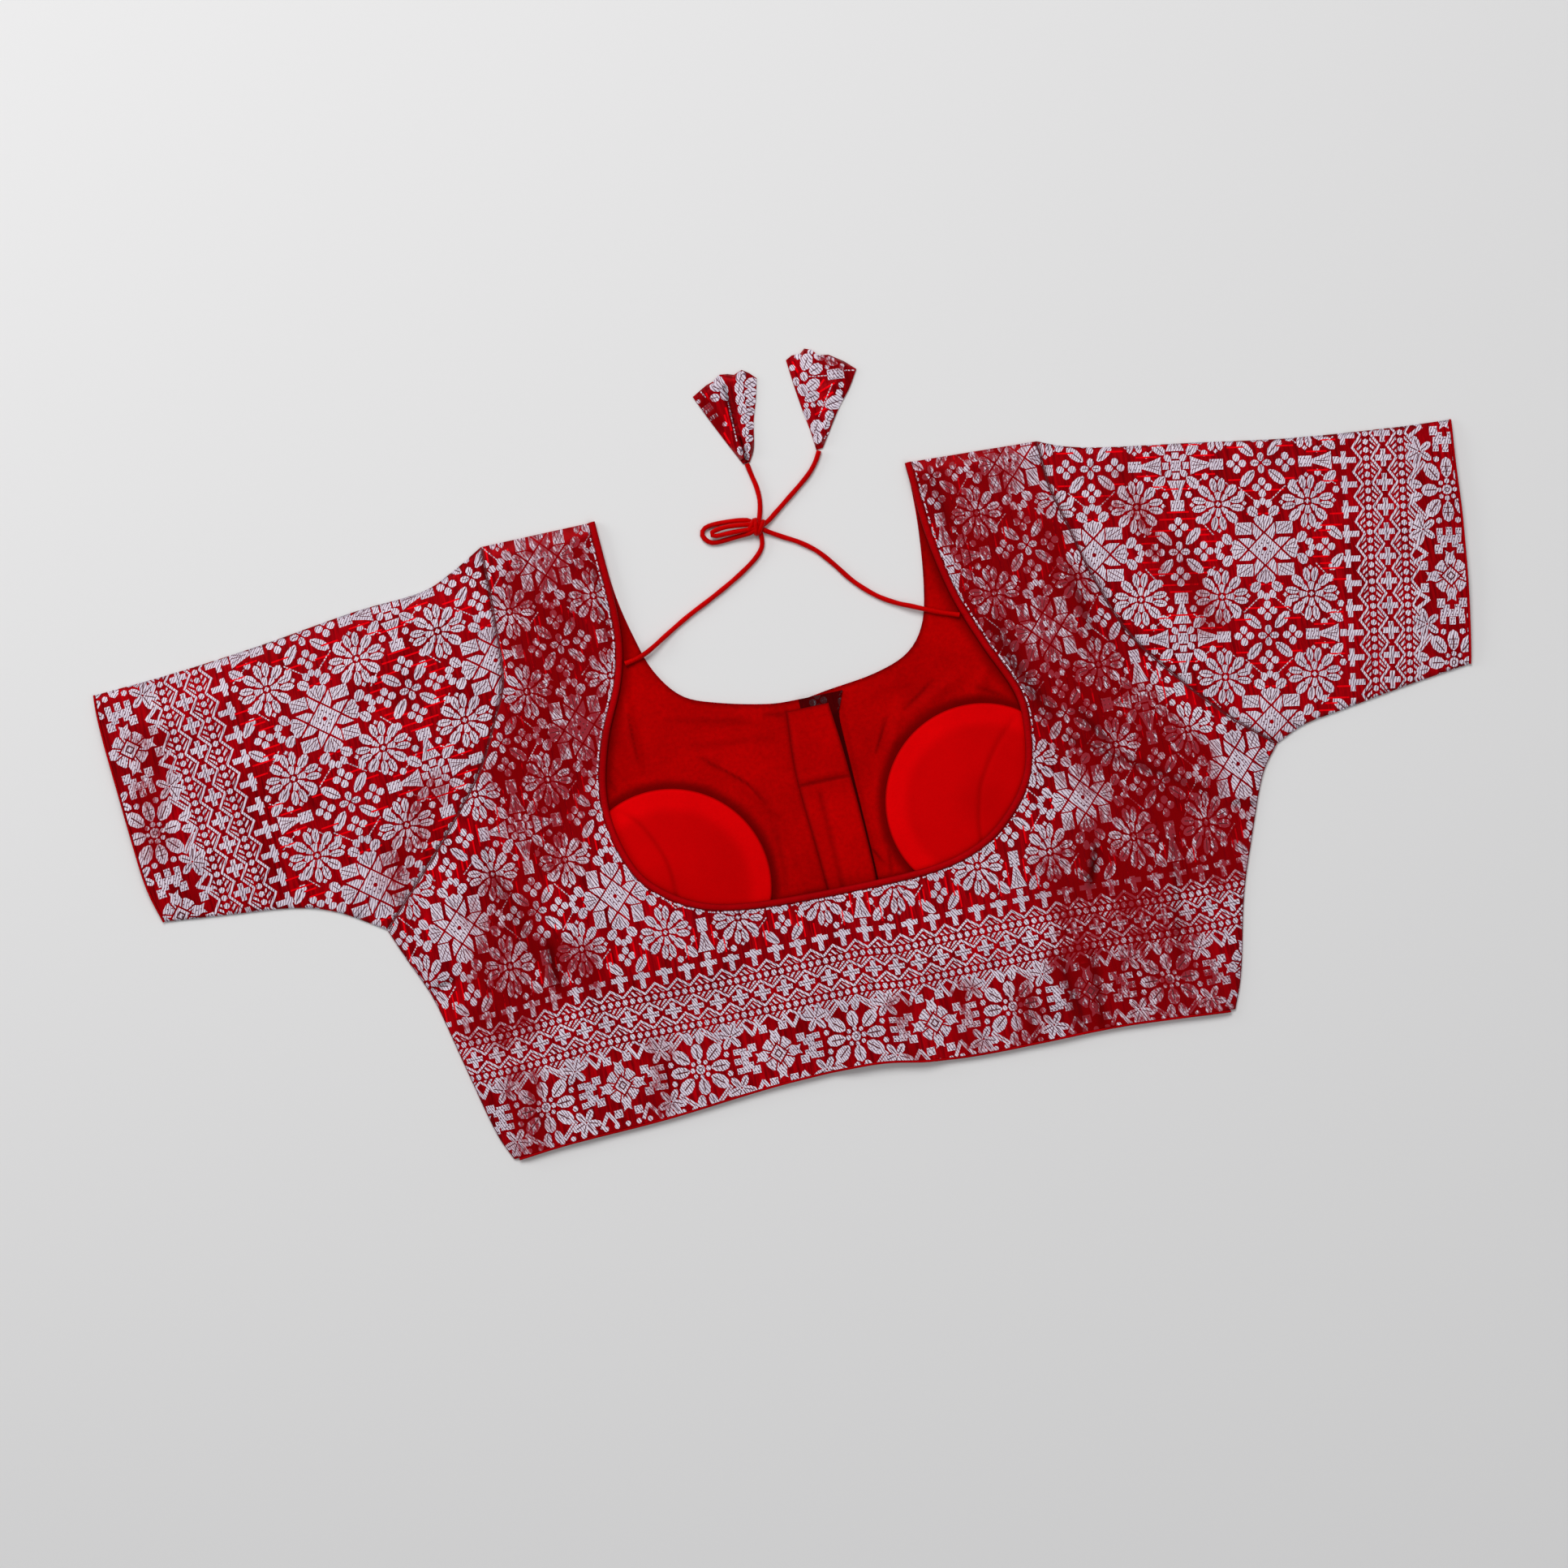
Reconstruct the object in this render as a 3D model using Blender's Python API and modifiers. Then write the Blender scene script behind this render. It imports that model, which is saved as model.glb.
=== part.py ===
# Brocade blouse with padded cups, laid flat with its back up and its two neck cords tied in a bow.
# Blender units are metres, +Z up. Tables and sizes are in millimetres in the garment's own frame:
# x runs across the garment, y towards the shoulders, z up from the surface that it lies on, and
# (0, 0) is a point on the centre line between the armholes. The last step moves the finished
# garment so that the middle of its footprint is the origin.

import math

import bpy
from mathutils import Vector
from mathutils.geometry import delaunay_2d_cdt, intersect_line_line_2d

MM = 0.001

# Cloth thickness, and the gap that neighbouring pieces keep
BROCADE = 1.1
LINING = 1.0
SEAM_GAP = 0.3

# Heights at which the layers lie
LINING_BOTTOM = BROCADE + SEAM_GAP
LINING_TOP = LINING_BOTTOM + LINING
ON_LINING = LINING_TOP + SEAM_GAP
CLOSED_EDGE = BROCADE + SEAM_GAP

# The back's layer comes down onto the front over this width along a sewn edge
CLOSING_WIDTH = 8.0
LINING_INSET_AT_SEAM = 12.0
LINING_INSET_AT_EDGE = 1.5
LINING_INSET_AT_NECK = 0.6
LINING_INSET_AT_HEM = 6.0

# The folded edging round hem and cuffs, and the piping round the back neck
EDGING_DIAMETER = 1.4
EDGING_INSET = EDGING_DIAMETER + SEAM_GAP
HEM_EDGE_SHORT = 2.6
PIPING_WIDTH = 4.2
PIPING_THICKNESS = 2.2

# Mesh spacing
OUTLINE_STEP = 9.0
CORNER_REACH = 16.0
FLAT_STEP = 34.0
BACK_STEP = 12.5
BAND_STEP = 7.0
EDGE_STEP = 9.0

# Cut edges, each a smooth line through rows of x, y. Left and right are as seen with the back up.
LEFT_SHOULDER = ((-96.5, 191.0), (-160.0, 190.5))
LEFT_ARMHOLE = (
    (-160.0, 190.5), (-161.0, 150.0), (-163.5, 113.0), (-173.0, 91.0),
    (-187.0, 65.0), (-206.0, 41.0), (-230.0, 15.0), (-259.0, -15.0),
)
LEFT_SIDE = (
    (-259.0, -15.0), (-252.0, -33.0), (-241.0, -60.0),
    (-232.0, -99.0), (-222.0, -142.0), (-214.0, -161.5),
)
HEM = (
    (-214.0, -161.5), (-180.0, -158.4), (-123.0, -156.0), (-54.0, -150.3), (0.0, -149.7),
    (34.0, -155.0), (69.0, -157.6), (138.0, -158.0), (172.0, -160.0), (211.0, -163.3),
)
RIGHT_SIDE = (
    (211.0, -163.3), (219.5, -141.0), (230.0, -99.0),
    (241.0, -68.0), (255.0, -33.0), (267.0, -16.5),
)
RIGHT_ARMHOLE = (
    (267.0, -16.5), (242.0, 6.0), (217.0, 35.0), (196.0, 65.0),
    (183.0, 100.0), (175.0, 132.0), (169.0, 158.0), (167.5, 183.5),
)
RIGHT_SHOULDER = ((167.5, 183.5), (94.0, 187.0))
BACK_NECK = (
    (94.0, 187.0), (97.0, 145.0), (104.0, 108.0), (115.0, 77.0), (128.0, 46.0), (129.5, 24.0),
    (124.0, -3.0), (110.0, -23.5), (88.0, -40.0), (56.0, -48.3), (0.0, -49.3), (-46.0, -47.5),
    (-76.0, -42.0), (-98.0, -30.0), (-113.0, -13.5), (-121.5, 12.0), (-122.3, 38.0),
    (-114.5, 68.0), (-101.0, 98.0), (-95.2, 123.0), (-95.0, 155.0), (-96.5, 191.0),
)
FRONT_NECK_RIGHT = (
    (91.0, 187.2), (90.0, 150.0), (86.0, 115.0), (80.0, 93.0),
    (68.0, 79.0), (47.5, 71.7), (20.0, 68.0), (7.0, 66.0),
)
FRONT_NECK_LEFT = (
    (7.0, 66.0), (-15.0, 67.0), (-44.0, 73.7), (-64.0, 82.0),
    (-77.0, 99.0), (-84.0, 120.0), (-90.0, 150.0), (-92.5, 190.9),
)
LEFT_SLEEVE_FOLD = (
    (-397.3, 153.0), (-350.0, 156.0), (-300.0, 161.0), (-240.0, 169.0),
    (-200.0, 172.0), (-180.0, 179.5), (-160.0, 190.5),
)
LEFT_CUFF = ((-397.3, 153.0), (-397.3, 133.0), (-394.0, 83.0), (-390.5, 40.0), (-385.0, 16.5))
LEFT_UNDERARM = ((-385.0, 16.5), (-350.0, 13.0), (-310.0, 8.7), (-285.0, 1.0), (-259.0, -15.0))
RIGHT_SLEEVE_FOLD = (
    (404.5, 146.0), (370.0, 148.5), (310.0, 155.0), (255.0, 164.0),
    (205.0, 172.0), (182.0, 177.5), (167.5, 183.5),
)
RIGHT_CUFF = ((404.5, 146.0), (402.0, 125.0), (398.5, 85.0), (393.0, 43.0), (386.5, 5.5))
RIGHT_UNDERARM = ((386.5, 5.5), (350.0, 1.0), (310.0, -5.0), (285.0, -9.0), (267.0, -16.5))

# The edge of the centre front opening
CENTRE_FRONT = 7.0

# Hook placket, seen through the back neck: the band, and the brocade lap below it.
# Columns: y, left x, right x
BAND_ROWS = ((-147.0, -4.0, 23.5), (-45.0, -5.0, 24.0), (21.0, -9.0, 21.5), (60.5, -7.0, 18.0))
LAP_ROWS = ((-147.0, 1.5, 26.0), (-45.0, 1.5, 26.0), (50.0, 1.5, 23.5), (57.0, 1.5, 24.0), (66.0, 1.5, 27.5))
BAND_THICKNESS = 1.0
# The band rises onto the lap over this width, which ends this far left of the lap's edge
BAND_STEP_WIDTH = 3.0
BAND_STEP_LEAD = 6.5

# Padded cups. Columns: name, centre x, centre y, radius
CUPS = (("cup_left", -93.0, -26.0, 58.0), ("cup_right", 94.0, -14.0, 57.0))
CUP_RIM_THICKNESS = 1.2
CUP_THICKNESS = 5.5
CUP_STEPS = 40
CUP_PROFILE_ROWS = 6

# How the back lies over what is under it
BACK_OVER_CUP = 6.4
BACK_OVER_CUP_MARGIN = 18.0
BACK_OVER_CUP_SHAPE = 1.2
BACK_OVER_PLACKET = 2.6
PLACKET_MIDDLE = 9.0
PLACKET_RISE_REACH = 36.0

# Largest folds of the back. Columns: x and y of one end, x and y of the other, half width, height
BACK_FOLDS = (
    (-168.0, -44.0, -172.0, -150.0, 11.0, 1.3),
    (-190.0, 20.0, -150.0, -60.0, 16.0, 1.2),
    (-130.0, 165.0, -140.0, 70.0, 15.0, 1.0),
    (-60.0, -70.0, -40.0, -140.0, 18.0, 0.9),
    (60.0, -70.0, 78.0, -140.0, 18.0, 1.0),
    (118.0, -92.0, 108.0, -150.0, 13.0, 1.6),
    (150.0, -46.0, 158.0, -150.0, 11.0, 1.5),
    (138.0, 20.0, 222.0, -38.0, 14.0, 1.4),
    (150.0, 110.0, 176.0, 40.0, 15.0, 1.3),
    (205.0, -70.0, 190.0, -150.0, 14.0, 1.0),
)

# Largest folds of the sleeves' upper layers, with the same columns
SLEEVE_FOLDS = (
    (-250.0, 30.0, -300.0, 120.0, 20.0, 0.8),
    (-215.0, 150.0, -280.0, 90.0, 17.0, 0.6),
    (-345.0, 40.0, -365.0, 120.0, 16.0, 0.5),
    (255.0, 30.0, 320.0, 110.0, 20.0, 0.8),
    (215.0, 145.0, 285.0, 90.0, 17.0, 0.6),
    (350.0, 30.0, 372.0, 115.0, 16.0, 0.5),
)

# Sleeves: heights of the upper layer above the surface, and the numbers of rings and points
CUFF_HEIGHT = 4.6
ARMHOLE_HEIGHT = 3.9
SLEEVE_MIDDLE_RISE = 0.9
FOLDED_EDGE_HEIGHT = 2.5
SLEEVE_BULGE_POWER = 4
SLEEVE_RINGS = 17
SLEEVE_ACROSS = 15
EDGE_ROUNDING = 0.8

# Cords. Columns: x, y, z of the middle of the cord
TIE_DIAMETER = 3.0
TIE_STEP = 7.0
CORD_ROUTES = {
    "tie_left": (
        (-92.3, 107.0, 4.5), (-85.5, 108.3, 4.4), (-79.0, 110.6, 4.3), (-73.0, 113.8, 3.9),
        (-66.0, 118.0, 2.4), (-58.0, 122.6, 1.6), (-49.0, 127.4, 1.6), (-38.0, 132.6, 1.6),
        (-26.0, 138.6, 1.6), (-15.0, 144.8, 1.6), (-6.0, 151.0, 1.6), (-1.0, 156.6, 1.6),
        (0.1, 162.6, 2.3),
    ),
    "tie_right": (
        (102.6, 94.4, 4.6), (98.0, 96.0, 4.4), (90.0, 99.0, 4.3), (82.5, 102.4, 4.2),
        (76.0, 105.4, 3.8), (69.0, 108.6, 2.4), (60.0, 114.0, 1.6), (52.0, 120.8, 1.6),
        (45.0, 128.4, 1.6), (38.0, 138.0, 1.6), (30.0, 147.6, 1.6), (21.0, 154.8, 1.6),
        (12.0, 160.0, 1.6), (4.0, 164.9, 2.4),
    ),
    "tail_left": (
        (1.2, 173.6, 2.4), (2.8, 179.0, 1.8), (3.6, 185.0, 1.6), (3.2, 192.0, 1.6),
        (1.8, 199.0, 1.6), (0.6, 205.7, 1.8),
    ),
    "tail_right": (
        (4.7, 170.0, 2.6), (12.0, 175.2, 1.7), (20.0, 181.2, 1.6), (28.0, 187.2, 1.6),
        (35.0, 193.0, 1.6), (40.0, 199.0, 1.6), (43.0, 204.3, 1.8),
    ),
    "bow_loop_outer": (
        (-8.6, 174.0, 3.0), (-14.0, 174.8, 2.2), (-22.0, 175.2, 1.7), (-30.0, 174.6, 1.6),
        (-33.2, 171.4, 1.6), (-31.6, 167.2, 1.6), (-27.6, 164.8, 1.6), (-20.0, 165.0, 1.7),
        (-14.0, 165.4, 2.2), (-9.0, 165.6, 3.0),
    ),
    "bow_loop_inner": (
        (-8.0, 171.2, 4.8), (-14.0, 171.9, 4.9), (-20.0, 172.1, 4.7), (-25.6, 171.4, 4.4),
        (-28.2, 169.6, 4.2), (-25.4, 168.2, 4.4), (-20.0, 168.2, 4.7), (-14.0, 168.2, 4.9),
    ),
}
# The bow's knot: x, y and z of its middle, and its half sizes
KNOT_MIDDLE = (-1.6, 168.6, 3.6)
KNOT_HALF_SIZE = (6.4, 5.2, 3.5)
KNOT_TURN = math.radians(-20.0)

# Folded brocade ends of the cords. Each row is a section across the fold, from the cord outwards.
# Columns: x and y of the left edge, x and y of the right edge, height of the middle pleat
CORD_ENDS = {
    "latkan_left": (
        (-1.6, 206.0, 2.6, 206.4, 3.2), (-6.0, 215.0, 6.6, 214.0, 3.6),
        (-11.5, 226.5, 9.6, 229.0, 4.0), (-17.0, 238.5, 13.4, 241.0, 4.2),
        (-22.0, 250.0, 16.4, 253.0, 4.0), (-14.0, 255.6, 11.0, 258.6, 3.4),
    ),
    "latkan_right": (
        (41.6, 205.2, 45.6, 205.6, 3.2), (40.6, 216.0, 51.6, 214.6, 3.6),
        (38.4, 230.0, 59.6, 226.4, 4.0), (36.6, 245.0, 68.0, 236.6, 4.2),
        (35.2, 259.6, 74.0, 246.2, 4.0), (43.0, 262.6, 64.0, 256.0, 3.4),
    ),
}
LATKAN_EDGE_HEIGHT = 2.4
LATKAN_ACROSS = 6

# Colours, sRGB 0 to 1
RED_BROCADE = (0.66, 0.25, 0.30)
RED_LINING = (0.68, 0.0, 0.02)
RED_CUP = (0.86, 0.01, 0.02)
RED_CORD = (0.78, 0.01, 0.02)
RED_PIPING = (0.62, 0.0, 0.02)

CORD_PIECES = tuple(CORD_ROUTES) + tuple(CORD_ENDS) + ("bow_knot",)

collection = bpy.data.collections.new("brocade_blouse")


# Lines and outlines

def at_length(points, distance):
    """The point at a distance along a polyline, of any dimension."""
    for a, b in zip(points, points[1:]):
        length = (b - a).length
        if distance <= length:
            return a.lerp(b, distance / length if length else 0.0)
        distance -= length
    return points[-1].copy()


def line_length(points):
    return sum((b - a).length for a, b in zip(points, points[1:]))


def spaced(points, count):
    """The polyline with count equal stretches."""
    total = line_length(points)
    return [at_length(points, total * i / count) for i in range(count)] + [points[-1].copy()]


def smooth_line(rows, step):
    """A Catmull-Rom curve through the rows, with points about a step apart."""
    knots = [Vector(row) for row in rows]
    if len(knots) == 2:
        return spaced(knots, max(1, round(line_length(knots) / step)))
    ends = [knots[0] * 2 - knots[1]] + knots + [knots[-1] * 2 - knots[-2]]
    fine = []
    for p0, p1, p2, p3 in zip(ends, ends[1:], ends[2:], ends[3:]):
        for i in range(12):
            t = i / 12
            fine.append(
                0.5 * (2 * p1 + (p2 - p0) * t + (2 * p0 - 5 * p1 + 4 * p2 - p3) * t * t
                       + (3 * p1 - p0 - 3 * p2 + p3) * t * t * t)
            )
    fine.append(knots[-1])
    return spaced(fine, max(1, round(line_length(fine) / step)))


def inset(points, distance):
    """A line in the plane moved to its left, which is inwards on an outline that runs anticlockwise."""
    moved = []
    for i, point in enumerate(points):
        ahead = points[min(i + 1, len(points) - 1)] - points[max(i - 1, 0)]
        left = Vector((-ahead.y, ahead.x)).normalized()
        moved.append(point + left * distance)
    return moved


def crossing(first, second):
    """Where a line crosses the next one: the index before it on each, and the point."""
    for i in range(len(first) - 1, 0, -1):
        for j in range(len(second) - 1):
            hit = intersect_line_line_2d(first[i - 1], first[i], second[j], second[j + 1])
            if hit:
                return i, j + 1, hit
    return None


def closed_outline(edges):
    """One anticlockwise loop from edges end to end, each run on or cut to where it meets the next one."""
    edges = [list(edge) for edge in edges]
    for n, edge in enumerate(edges):
        following = edges[(n + 1) % len(edges)]
        run_on = edge[-1] + (edge[-1] - edge[-2]).normalized() * CORNER_REACH
        lead_in = following[0] + (following[0] - following[1]).normalized() * CORNER_REACH
        found = crossing(edge + [run_on], [lead_in] + following)
        if found:
            i, j, hit = found
            edge[i:] = [hit]
            following[:max(0, j - 1)] = [hit]
    loop = []
    for edge in edges:
        for point in edge:
            if not loop or (point - loop[-1]).length > 0.05:
                loop.append(point)
    if (loop[0] - loop[-1]).length <= 0.05:
        loop.pop()
    return loop


def shortened(points, distance):
    """The polyline without its first and last stretch of a length."""
    total = line_length(points)
    count = len(points) - 1
    kept = total - 2 * distance
    return [at_length(points, distance + kept * i / count) for i in range(count + 1)]


def distance_to_line(point, points):
    return min(distance_to_segment(point, a, b) for a, b in zip(points, points[1:]))


def distance_to_segment(point, a, b):
    along = b - a
    share = max(0.0, min(1.0, (point - a).dot(along) / along.length_squared))
    return (point - a - along * share).length


def eased(value):
    value = max(0.0, min(1.0, value))
    return value * value * (3 - 2 * value)


def inside(point, loop):
    """Whether a point of the plane lies within a closed outline."""
    within = False
    for a, b in zip(loop, loop[1:] + loop[:1]):
        if (a.y > point.y) != (b.y > point.y):
            if point.x < a.x + (b.x - a.x) * (point.y - a.y) / (b.y - a.y):
                within = not within
    return within


# Blender objects

def material(name, colour, roughness, sheen=0.0):
    finish = bpy.data.materials.new(name)
    finish.use_nodes = True
    shader = finish.node_tree.nodes["Principled BSDF"]
    shader.inputs["Base Color"].default_value = (*[c ** 2.2 for c in colour], 1.0)
    shader.inputs["Roughness"].default_value = roughness
    shader.inputs["Sheen Weight"].default_value = sheen
    return finish


def add_object(name, data, colour, roughness=0.6, sheen=0.2):
    obj = bpy.data.objects.new(name, data)
    data.materials.append(material(name, colour, roughness, sheen))
    collection.objects.link(obj)
    return obj


def add_mesh(name, points, faces, colour):
    mesh = bpy.data.meshes.new(name)
    mesh.from_pydata([Vector(p) * MM for p in points], [], faces)
    mesh.update()
    mesh.shade_smooth()
    mesh.set_sharp_from_angle(angle=math.radians(40))
    return add_object(name, mesh, colour)


def add_panel(name, loop, step, height, wall, colour, guides=()):
    """A flat or gently raised cloth panel: its underside follows height(x, y), and Solidify gives the wall."""
    low = Vector((min(p.x for p in loop), min(p.y for p in loop)))
    high = Vector((max(p.x for p in loop), max(p.y for p in loop)))
    columns = max(1, round((high.x - low.x) / step))
    rows = max(1, round((high.y - low.y) / step))
    closed = loop + loop[:1]
    within = [p for p in guides if inside(p, loop) and distance_to_line(p, closed) > 0.4 * step]
    on_guides = list(within)
    for row in range(1, rows):
        for column in range(columns + 1):
            shift = 0.5 * (row % 2)
            spot = Vector((
                low.x + (high.x - low.x) * (column + shift) / columns,
                low.y + (high.y - low.y) * row / rows,
            ))
            clear = all((spot - p).length > 0.5 * step for p in on_guides)
            if clear and inside(spot, loop) and distance_to_line(spot, closed) > 0.45 * step:
                within.append(spot)
    border = [(i, (i + 1) % len(loop)) for i in range(len(loop))]
    flat, _, faces, *_ = delaunay_2d_cdt(loop + within, border, [], 1, 0.001)
    points = [(p.x, p.y, height(p)) for p in flat]
    obj = add_mesh(name, points, faces, colour)
    solidify = obj.modifiers.new("Wall", "SOLIDIFY")
    solidify.thickness = wall * MM
    solidify.offset = 1.0
    return obj


def add_cord(name, points, colour, diameter=None, profile=None, closed=False):
    """A bevelled curve along a line of points, round or with a profile of its own."""
    curve = bpy.data.curves.new(name, "CURVE")
    curve.dimensions = "3D"
    curve.twist_mode = "Z_UP"
    curve.use_fill_caps = not closed
    if profile:
        curve.bevel_mode = "OBJECT"
        curve.bevel_object = profile
    else:
        curve.bevel_depth = diameter / 2 * MM
        curve.bevel_resolution = 2
    spline = curve.splines.new("POLY")
    spline.points.add(len(points) - 1)
    for spot, point in zip(spline.points, points):
        spot.co = (*(point * MM), 1.0)
    spline.use_cyclic_u = closed
    return add_object(name, curve, colour)


def add_profile(name, width, height, sides):
    """A closed oval that only shapes the curves that use it."""
    curve = bpy.data.curves.new(name, "CURVE")
    spline = curve.splines.new("POLY")
    spline.points.add(sides - 1)
    for i, spot in enumerate(spline.points):
        turn = -math.tau * (i + 0.5) / sides
        spot.co = (width / 2 * math.cos(turn) * MM, height / 2 * math.sin(turn) * MM, 0.0, 1.0)
    spline.use_cyclic_u = True
    guide = bpy.data.objects.new(name, curve)
    guide.hide_render = True
    guide.display_type = "WIRE"
    collection.objects.link(guide)
    return guide


def ring_faces(first, second, count):
    """Quads between two rings of count points, given by the index of each ring's first point."""
    return [
        (first + i, first + (i + 1) % count, second + (i + 1) % count, second + i)
        for i in range(count)
    ]


# Heights of the layers

def fold_height(point, folds):
    total = 0.0
    for x0, y0, x1, y1, half_width, height in folds:
        away = distance_to_segment(point, Vector((x0, y0)), Vector((x1, y1)))
        total += height * math.exp(-(away / half_width) ** 2)
    return total


SEWN_EDGES = [
    smooth_line(edge, OUTLINE_STEP)
    for edge in (LEFT_SHOULDER, LEFT_SIDE, RIGHT_SIDE, RIGHT_SHOULDER)
]


def back_height(point):
    """Height of the back's underside: over the lining, cups and placket, and down to the front at its seams."""
    lift = fold_height(point, BACK_FOLDS)
    for _, x, y, radius in CUPS:
        away = (point - Vector((x, y))).length / (radius + BACK_OVER_CUP_MARGIN)
        if away < 1:
            lift = max(lift, BACK_OVER_CUP * (1 - away * away) ** BACK_OVER_CUP_SHAPE)
    across = abs(point.x - PLACKET_MIDDLE) / PLACKET_RISE_REACH
    if across < 1:
        lift = max(lift, BACK_OVER_PLACKET * eased(2 * (1 - across)))
    closing = eased(min(distance_to_line(point, edge) for edge in SEWN_EDGES) / CLOSING_WIDTH)
    return CLOSED_EDGE + closing * (ON_LINING + 0.05 - CLOSED_EDGE + lift)


def flat_height(z):
    return lambda point: z


# Panels

def body_edges(step, hem_inset):
    """The body's outer cut edges by name, anticlockwise from the left shoulder."""
    return {
        "left_shoulder": smooth_line(LEFT_SHOULDER, step),
        "left_armhole": smooth_line(LEFT_ARMHOLE, step),
        "left_side": smooth_line(LEFT_SIDE, step),
        "hem": inset(smooth_line(HEM, step), hem_inset),
        "right_side": smooth_line(RIGHT_SIDE, step),
        "right_armhole": smooth_line(RIGHT_ARMHOLE, step),
        "right_shoulder": smooth_line(RIGHT_SHOULDER, step),
    }


def cut_at_centre(points, keep_left, centre):
    """The part of a line on one side of the centre front, ended on it."""
    kept = []
    for a, b in zip(points, points[1:]):
        if (a.x < centre) == keep_left:
            kept.append(a)
        if (a.x < centre) != (b.x < centre):
            kept.append(a.lerp(b, (centre - a.x) / (b.x - a.x)))
    if (points[-1].x < centre) == keep_left:
        kept.append(points[-1])
    return kept


def half_outline(left, neck_inset, shoulder_inset, armhole_inset, side_inset, hem_inset):
    """The outline of one front, or of its lining with its own insets."""
    edges = body_edges(OUTLINE_STEP, hem_inset)
    side = "left" if left else "right"
    shoulder = inset(edges[side + "_shoulder"], shoulder_inset)
    armhole = inset(edges[side + "_armhole"], armhole_inset)
    seam = inset(edges[side + "_side"], side_inset)
    centre = CENTRE_FRONT + (-SEAM_GAP / 2 if left else SEAM_GAP / 2)
    hem = cut_at_centre(edges["hem"], left, centre)
    neck = smooth_line(FRONT_NECK_LEFT if left else FRONT_NECK_RIGHT, OUTLINE_STEP)
    neck = cut_at_centre(inset(neck, neck_inset), left, centre)
    if left:
        return closed_outline([shoulder, armhole, seam, hem, neck])
    return closed_outline([hem, seam, armhole, shoulder, neck])


def make_back():
    edges = body_edges(OUTLINE_STEP, EDGING_INSET)
    neck = smooth_line(BACK_NECK, OUTLINE_STEP)
    loop = closed_outline(list(edges.values()) + [neck])
    guides = [point for edge in SEWN_EDGES for point in inset(edge, CLOSING_WIDTH)]
    add_panel("back_panel", loop, BACK_STEP, back_height, BROCADE, RED_BROCADE, guides)


def make_fronts():
    for name, left in (("left", True), ("right", False)):
        front = half_outline(left, 0.0, 0.0, 0.0, 0.0, EDGING_INSET)
        add_panel("front_" + name, front, FLAT_STEP, flat_height(0.0), BROCADE, RED_BROCADE)
        lining = half_outline(
            left, LINING_INSET_AT_NECK, LINING_INSET_AT_SEAM, LINING_INSET_AT_EDGE,
            LINING_INSET_AT_SEAM, LINING_INSET_AT_HEM,
        )
        add_panel("lining_" + name, lining, FLAT_STEP, flat_height(LINING_BOTTOM), LINING, RED_LINING)


def strip_outline(rows, step):
    """The outline of a strip from rows of y, left x, right x."""
    right = smooth_line([(x1, y) for y, _, x1 in rows], step)
    left = smooth_line([(x0, y) for y, x0, _ in reversed(rows)], step)
    top = smooth_line([right[-1], left[0]], step)
    bottom = smooth_line([left[-1], right[0]], step)
    return closed_outline([right, top, left, bottom])


def band_height(point):
    """The placket band lies on the lining, and steps up onto the lap."""
    lap_edge = LAP_ROWS[0][1]
    share = (point.x - lap_edge + BAND_STEP_LEAD + BAND_STEP_WIDTH) / BAND_STEP_WIDTH
    return ON_LINING + (BAND_THICKNESS + SEAM_GAP) * min(1.0, max(0.0, share))


def make_placket():
    lap = strip_outline(LAP_ROWS, OUTLINE_STEP)
    add_panel("placket_lap", lap, FLAT_STEP, flat_height(ON_LINING), BAND_THICKNESS, RED_BROCADE)
    band = strip_outline(BAND_ROWS, BAND_STEP)
    add_panel("placket_band", band, BAND_STEP, band_height, BAND_THICKNESS, RED_LINING)


def make_cups():
    """Each cup is a low dome, turned from its profile."""
    for name, x, y, radius in CUPS:
        profile = []
        for i in range(CUP_PROFILE_ROWS + 1):
            share = i / CUP_PROFILE_ROWS
            rise = (CUP_THICKNESS - CUP_RIM_THICKNESS) * (1 - share * share)
            profile.append((radius * share, 0.0, ON_LINING + CUP_RIM_THICKNESS + rise))
        profile.append((radius, 0.0, ON_LINING))
        profile.append((0.0, 0.0, ON_LINING))
        lines = [(i, i + 1) for i in range(len(profile) - 1)]
        mesh = bpy.data.meshes.new(name)
        mesh.from_pydata([Vector(p) * MM for p in profile], lines, [])
        obj = add_object(name, mesh, RED_CUP)
        obj.location = (x * MM, y * MM, 0.0)
        turn = obj.modifiers.new("Turn", "SCREW")
        turn.steps = CUP_STEPS
        turn.render_steps = CUP_STEPS
        turn.use_merge_vertices = True
        turn.merge_threshold = 0.00001


# Sleeves

def patch(fold, cuff, underarm, armhole):
    """A point of a sleeve's flat shape from shares across and along it, blended from its four edges."""
    lengths = {id(edge): line_length(edge) for edge in (fold, cuff, underarm, armhole)}

    def on(edge, share):
        return at_length(edge, share * lengths[id(edge)])

    def spot(across, along):
        ruled_along = on(cuff, across).lerp(on(armhole, across), along)
        ruled_across = on(fold, along).lerp(on(underarm, along), across)
        near = cuff[0].lerp(cuff[-1], across)
        far = armhole[0].lerp(armhole[-1], across)
        return ruled_along + ruled_across - near.lerp(far, along)

    return spot


def sleeve_height(point, across, along):
    """Height of a sleeve's upper surface, low at the fold and the underarm seam."""
    middle = CUFF_HEIGHT + (ARMHOLE_HEIGHT - CUFF_HEIGHT) * along
    middle += SLEEVE_MIDDLE_RISE * math.sin(math.pi * along) + fold_height(point, SLEEVE_FOLDS) * (1 - along)
    bulge = 1 - abs(2 * across - 1) ** SLEEVE_BULGE_POWER
    return FOLDED_EDGE_HEIGHT + (middle - FOLDED_EDGE_HEIGHT) * bulge


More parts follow.
